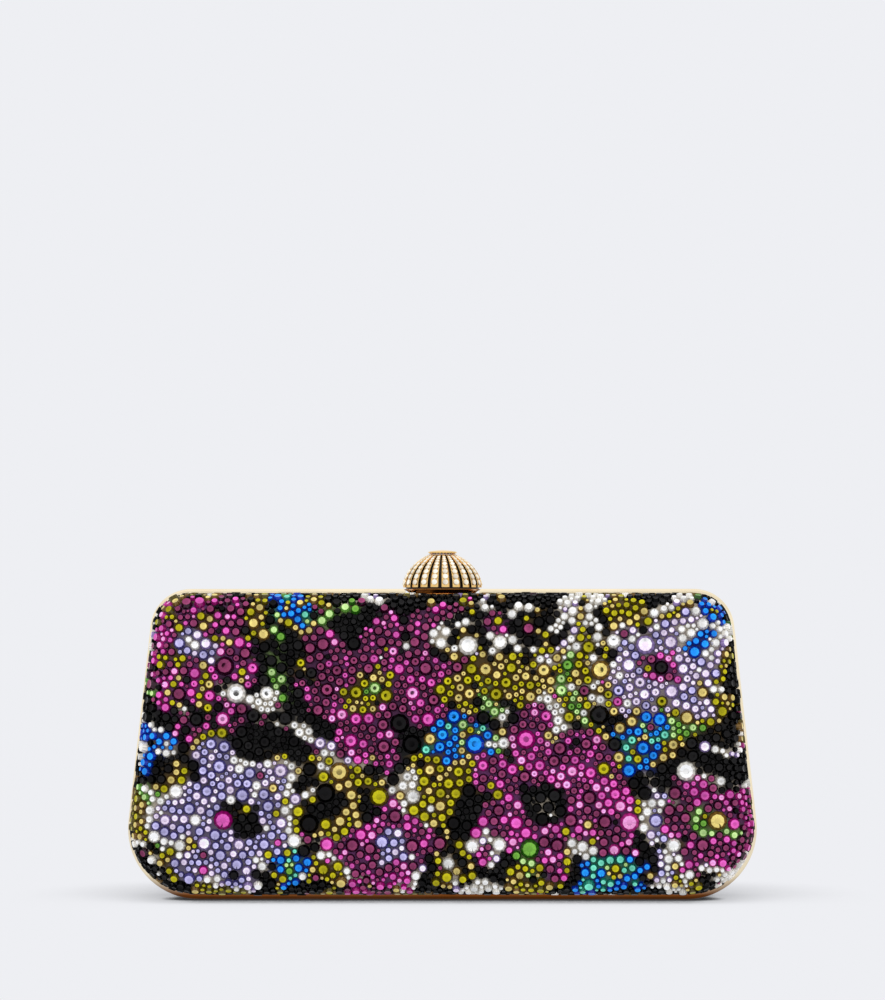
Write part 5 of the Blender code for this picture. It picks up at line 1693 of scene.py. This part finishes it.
class CLUTCH_OT_knob(bpy.types.Operator):
    """Builds the ribbed knob with its rim, enamel, stones and cap."""

    bl_idname = "clutch.knob"
    bl_label = "Knob"

    def execute(self, context):
        sizes = context.scene.clutch_sizes
        self.rim()
        self.collar()
        inner = CORE_INSET + CORE_WALL
        core = [(DOME_RADIUS - CORE_INSET, FLANGE_TOP), *dome_line(CORE_INSET, CORE_HOLE, 28)]
        core += [*dome_line(inner, CORE_HOLE, 28)[::-1], (DOME_RADIUS - inner, FLANGE_TOP)]
        made = smooth(lathe("knob_enamel_dome", core, 96))
        dressed(made, "knob", "enamel", looks()["enamel"], "knob_enamel")
        self.ribs(sizes)
        self.cap()
        return {"FINISHED"}

    def rim(self):
        """The thin flange and the tapered skirt below it."""
        narrow = KNOB_RADIUS - SKIRT_TAPER
        line = [(FLANGE_HOLE, FLANGE_TOP)]
        for at in range(9):
            turn = math.pi / 2 * (1 - at / 6)
            out = KNOB_RADIUS - RIM_SOFT * (1 - math.cos(turn))
            line.append((out, FLANGE_TOP - RIM_SOFT * (1 - math.sin(turn))))
        foot = line[-1]
        for at in range(1, 9):
            share = at / 8
            pull = SKIRT_HOLLOW * math.sin(math.pi * share)
            radius = foot[0] + (narrow - foot[0]) * share
            line.append((radius - pull, foot[1] + (SKIRT_BOTTOM - foot[1]) * share + pull))
        groove = (COLLAR_RADIUS + COLLAR_PLAY, COLLAR_RADIUS - COLLAR_WALL - COLLAR_PLAY)
        line += [(groove[0], SKIRT_BOTTOM), (groove[0], GROOVE_TOP)]
        line += [(groove[1], GROOVE_TOP), (groove[1], SKIRT_BOTTOM), (FLANGE_HOLE, SKIRT_BOTTOM)]
        made = smooth(lathe("knob_rim", line, 128), 30)
        dressed(made, "knob", "gilt", looks()["shaded_gilt"], "knob_base")

    def collar(self):
        """The guide ring on the well's floor, round which the knob's skirt slides."""
        inner = COLLAR_RADIUS - COLLAR_WALL
        top = GROOVE_TOP - KNOB_TRAVEL - 2 * COLLAR_PLAY / 3
        line = [(inner, top), (COLLAR_RADIUS - COLLAR_PLAY, top), (COLLAR_RADIUS, top - COLLAR_PLAY)]
        line += [(COLLAR_RADIUS, WELL_FLOOR + HALF_GAP / 3), (inner, WELL_FLOOR + HALF_GAP / 3)]
        made = smooth(lathe("knob_guide_collar", line, 96), 40)
        dressed(made, "back_half", "gilt", looks()["shaded_gilt"])

    def ribs(self, sizes):
        """One rib with raised side rails, repeated round the dome, with its stones."""
        top = dome_share(CAP_SEAT_RADIUS, 0.0)
        half = math.pi / sizes.ribs * sizes.rib_share
        shape = bmesh.new()
        rows = []
        for at in range(-1, RIB_STEPS + 1):
            share = top * max(at, 0) / RIB_STEPS
            inner, inner_z = dome_point(share, RIB_DEPTH)
            row = []
            for angle, sink in RIB_SECTION:
                radius, z = dome_point(share, 0.0)
                radius += (inner - radius) * sink / RIB_DEPTH
                if at < 0:
                    z = RIB_FOOT
                elif at > 0:
                    z += (inner_z - z) * sink / RIB_DEPTH
                turn = angle * half
                row.append(shape.verts.new((radius * math.cos(turn), radius * math.sin(turn), z)))
            rows.append(row)
        for lower, upper in zip(rows, rows[1:]):
            bridge(shape, lower, upper)
        shape.faces.new(rows[0][::-1])
        shape.faces.new(rows[-1])
        bmesh.ops.recalc_face_normals(shape, faces=shape.faces)
        first = Matrix.Rotation(sizes.rib_turn - math.pi / 2, 3, "Z")
        bmesh.ops.rotate(shape, cent=(0, 0, 0), matrix=first, verts=shape.verts)
        rib = object_from("knob_rib_cage", shape)
        values = {"Count": sizes.ribs, "Finish": looks()["warm_gilt"]}
        made = smooth(run_tree(rib, looks()["round"], values), 40)
        dressed(made, "knob", "gilt", looks()["warm_gilt"], "knob_ribs")
        self.rib_stones(sizes, top, half)

    def rib_stones(self, sizes, top, half):
        """Stones in a row along each rib, touching one another."""
        shares = np.linspace(0.0, top, 400)
        line = np.array([dome_point(share, 0.0) for share in shares])
        lengths = np.concatenate([[0.0], np.cumsum(np.linalg.norm(np.diff(line, axis=0), axis=1))])
        stones = []
        along = RIB_STONE_START
        rng = np.random.default_rng(RIB_SEED)
        while True:
            stone = np.interp(along, lengths, line[:, 0]) * math.sin(half * RIB_STONE_SHARE)
            centre = np.interp(along + stone, lengths, shares)
            if centre > top - RIB_STONE_END:
                break
            radius, z = dome_point(centre, RIB_FLOOR)
            ahead, ahead_z = dome_point(centre + RIB_STONE_STEP, RIB_FLOOR)
            slope = Vector((ahead_z - z, 0.0, radius - ahead)).normalized()
            height = RIB_FLOOR + stone * RIB_STONE_RISE
            for rib in range(sizes.ribs):
                turn = 2 * math.pi * rib / sizes.ribs + sizes.rib_turn - math.pi / 2
                spin = Matrix.Rotation(turn, 3, "Z")
                place = spin @ Vector((radius, 0.0, z))
                stones.append((place, spin @ slope, stone, height, rng.uniform(0, 1), rng.uniform()))
            along += 2 * stone + STONE_GAP
        detail = (RIB_STONE_FACETS, RIB_STONE_TABLE)
        made = stones_object("knob_stones", stones, looks()["stones"], looks()["brilliant"], *detail)
        dressed(made, "knob", "crystal", looks()["brilliant"])

    def cap(self):
        """The domed disc on top of the ribs."""
        low, high = (corner.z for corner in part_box("knob_cap"))
        edge = high - CAP_RISE
        line = [(0.0, high)]
        for at in range(1, 11):
            radius = min(CAP_RADIUS * at / 10, CAP_RADIUS - CAP_BEND)
            line.append((radius, high - CAP_RISE * (radius / CAP_RADIUS) ** 2))
        for at in range(1, 9):
            turn = math.pi / 2 - math.pi * at / 8
            out = CAP_RADIUS - CAP_SOFT * (1 - math.cos(turn))
            line.append((out, edge - CAP_SOFT * (1 - math.sin(turn))))
        line += [(CAP_RADIUS - CAP_TAPER, low), (0.0, low)]
        made = smooth(lathe("knob_cap_disc", line, 96), 40)
        dressed(made, "knob", "gilt", looks()["warm_gilt"], "knob_cap")


class CLUTCH_OT_fittings(bpy.types.Operator):
    """Gives the solids that stay their finishes."""

    bl_idname = "clutch.fittings"
    bl_label = "Fittings"

    def execute(self, context):
        slots = {row["node"]: row["material_slot"] for row in frame["record"]["subparts"]}
        finish = {"gilt": "inner_gilt", "steel": "steel", "shell": "shell"}
        for name, node in frame["nodes"].items():
            if node.hide_render:
                continue
            look = finish.get(slots[name])
            if look is None:
                raise RuntimeError(f"{name} has no finish")
            for place in range(len(node.data.materials)):
                node.data.materials[place] = looks()[look]
        return {"FINISHED"}


class CLUTCH_OT_stage(bpy.types.Operator):
    """Sets the floor, the studio light and the camera."""

    bl_idname = "clutch.stage"
    bl_label = "Stage"

    def execute(self, context):
        self.floor(tuple(context.scene.clutch_colours.backdrop))
        self.studio(tuple(context.scene.clutch_colours.backdrop))
        self.lamps()
        self.camera()
        context.scene.view_settings.view_transform = "Standard"
        return {"FINISHED"}

    def floor(self, backdrop):
        """A pale floor that shows the clutch's soft shadow and hides nothing that swings below it."""
        shape = bmesh.new()
        bmesh.ops.create_grid(shape, x_segments=1, y_segments=1, size=4.0)
        for vert in shape.verts:
            vert.co.z = vert.co.y * math.tan(FLOOR_LEAN)
        made = object_from("studio_floor", shape)
        look = bpy.data.materials.new("pale_floor")
        look.use_nodes = True
        tree = look.node_tree
        tree.nodes.clear()
        dark = 0.0
        for reach, least, strength, lean in FLOOR_SHADOWS:
            inputs = {"Distance": reach, "Normal": vector_of(tree, 0.0, lean, 1.0)}
            open_sky = put(tree, "ShaderNodeAmbientOcclusion", {"samples": 12}, inputs).outputs["AO"]
            hidden = math_of(tree, "SUBTRACT", 1.0 - least, open_sky)
            dark = math_of(tree, "MAXIMUM", dark, math_of(tree, "MULTIPLY", hidden, strength, True))
        clear = put(tree, "ShaderNodeBsdfTransparent").outputs[0]
        shadow = put(tree, "ShaderNodeEmission", None, {0: tuple(c * 0.04 for c in backdrop)}).outputs[0]
        lit = put(tree, "ShaderNodeEmission", None, {0: backdrop}).outputs[0]
        bounce = put(tree, "ShaderNodeBsdfDiffuse", None, {0: tuple(c * 0.8 for c in backdrop)}).outputs[0]
        ray = put(tree, "ShaderNodeLightPath").outputs
        mirrored = either(tree, times(tree, dark, 0.8), lit, shadow)
        shown = either(tree, ray["Is Glossy Ray"], bounce, mirrored)
        seen = either(tree, dark, clear, shadow)
        shown = either(tree, ray["Is Camera Ray"], shown, seen)
        below = put(tree, "ShaderNodeNewGeometry").outputs["Backfacing"]
        through = math_of(tree, "MAXIMUM", below, ray["Is Shadow Ray"])
        put(tree, "ShaderNodeOutputMaterial", None, {0: either(tree, through, shown, clear)})
        made.data.materials.append(look)

    def studio(self, backdrop):
        """A light tent: bright above, dimmer low down, with the dark rounds of the lens port in front."""
        world = bpy.data.worlds.new("studio")
        bpy.context.scene.world = world
        world.use_nodes = True
        tree = world.node_tree
        tree.nodes.clear()
        heading = put(tree, "ShaderNodeTexCoord").outputs["Generated"]
        height = range_of(tree, parts_of(tree, heading)["Z"], -1.0, 1.0)
        ramp = put(tree, "ShaderNodeValToRGB", None, {0: height})
        bar = ramp.color_ramp.elements
        for at, (place, level) in enumerate(TENT_LEVELS):
            stop = bar[at] if at < 2 else bar.new(place)
            stop.position = place
            stop.color = (level, level, level * 1.01, 1.0)
        tent = ramp.outputs[0]
        for rise, wide, close, level in TENT_ROUNDS:
            aim = Vector((-0.025, -1.0, math.tan(math.radians(rise)))).normalized()
            inputs = {0: heading, 1: tuple(aim)}
            facing = put(tree, "ShaderNodeVectorMath", {"operation": "DOT_PRODUCT"}, inputs)
            edge = (math.cos(math.radians(wide)), math.cos(math.radians(close)))
            hole = range_of(tree, facing.outputs["Value"], *edge)
            tent = blend_of(tree, hole, tent, (level, level, level * 1.05))
        ray = put(tree, "ShaderNodeLightPath").outputs
        colour = blend_of(tree, ray["Is Camera Ray"], tent, backdrop)
        light = put(tree, "ShaderNodeBackground", None, {"Color": colour, "Strength": 1.0})
        put(tree, "ShaderNodeOutputWorld", None, {0: light.outputs[0]})

    def lamps(self):
        """Soft boxes to the left, to the right and above."""
        for name, place, size, power in LAMPS:
            lamp = bpy.data.lights.new(name, "AREA")
            lamp.shape = "SQUARE"
            lamp.size = size
            lamp.energy = power
            made = bpy.data.objects.new(name, lamp)
            made.location = place
            made.rotation_euler = (LAMP_AIM - Vector(place)).to_track_quat("-Z", "Y").to_euler()
            made.visible_glossy = False
            bpy.context.scene.collection.objects.link(made)

    def camera(self):
        """A long lens level with the clutch, which stands low in the picture."""
        data = bpy.data.cameras.new("camera")
        data.sensor_width = 36.0
        data.lens = data.sensor_width * PIXELS_A_METRE * CAMERA_AWAY / PICTURE_HEIGHT
        data.clip_start = 0.1
        data.clip_end = 50
        made = bpy.data.objects.new("camera", data)
        across = CAMERA_AWAY * math.sin(CAMERA_TURN)
        made.location = (across, -CAMERA_AWAY * math.cos(CAMERA_TURN), CAMERA_HEIGHT)
        drop = CASE_MIDDLE_ROW - PICTURE_HEIGHT / 2 - (CAMERA_HEIGHT - CASE_MIDDLE) * PIXELS_A_METRE
        pitch = math.atan(drop / (PIXELS_A_METRE * CAMERA_AWAY))
        made.rotation_euler = Euler((math.pi / 2 + pitch, 0.0, CAMERA_TURN))
        bpy.context.scene.collection.objects.link(made)
        bpy.context.scene.camera = made


class CLUTCH_PT_panel(bpy.types.Panel):
    """Lists the sizes, the colours and the steps."""

    bl_label = "Clutch"
    bl_idname = "CLUTCH_PT_panel"
    bl_space_type = "VIEW_3D"
    bl_region_type = "UI"
    bl_category = "Clutch"

    def draw(self, context):
        for group in (context.scene.clutch_sizes, context.scene.clutch_colours):
            box = self.layout.box()
            for name in group.__annotations__:
                box.prop(group, name)
        for step in STEPS:
            self.layout.operator(step.bl_idname)


STEPS = (
    CLUTCH_OT_stage,
    CLUTCH_OT_frames,
    CLUTCH_OT_cloth,
    CLUTCH_OT_stones,
    CLUTCH_OT_lining,
    CLUTCH_OT_knob,
    CLUTCH_OT_fittings,
)
CLASSES = (ClutchSizes, ClutchColours, *STEPS, CLUTCH_PT_panel)


def register():
    """Registers the add-on's classes."""
    for each in CLASSES:
        bpy.utils.register_class(each)
    bpy.types.Scene.clutch_sizes = bpy.props.PointerProperty(type=ClutchSizes)
    bpy.types.Scene.clutch_colours = bpy.props.PointerProperty(type=ClutchColours)


def unregister():
    """Removes the add-on's classes."""
    del bpy.types.Scene.clutch_colours
    del bpy.types.Scene.clutch_sizes
    for each in reversed(CLASSES):
        bpy.utils.unregister_class(each)


def main():
    """Registers the add-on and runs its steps."""
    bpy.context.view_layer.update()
    register()
    bpy.ops.clutch.stage()
    bpy.ops.clutch.frames()
    bpy.ops.clutch.cloth()
    bpy.ops.clutch.stones()
    bpy.ops.clutch.lining()
    bpy.ops.clutch.knob()
    bpy.ops.clutch.fittings()


if __name__ == "__main__":
    main()
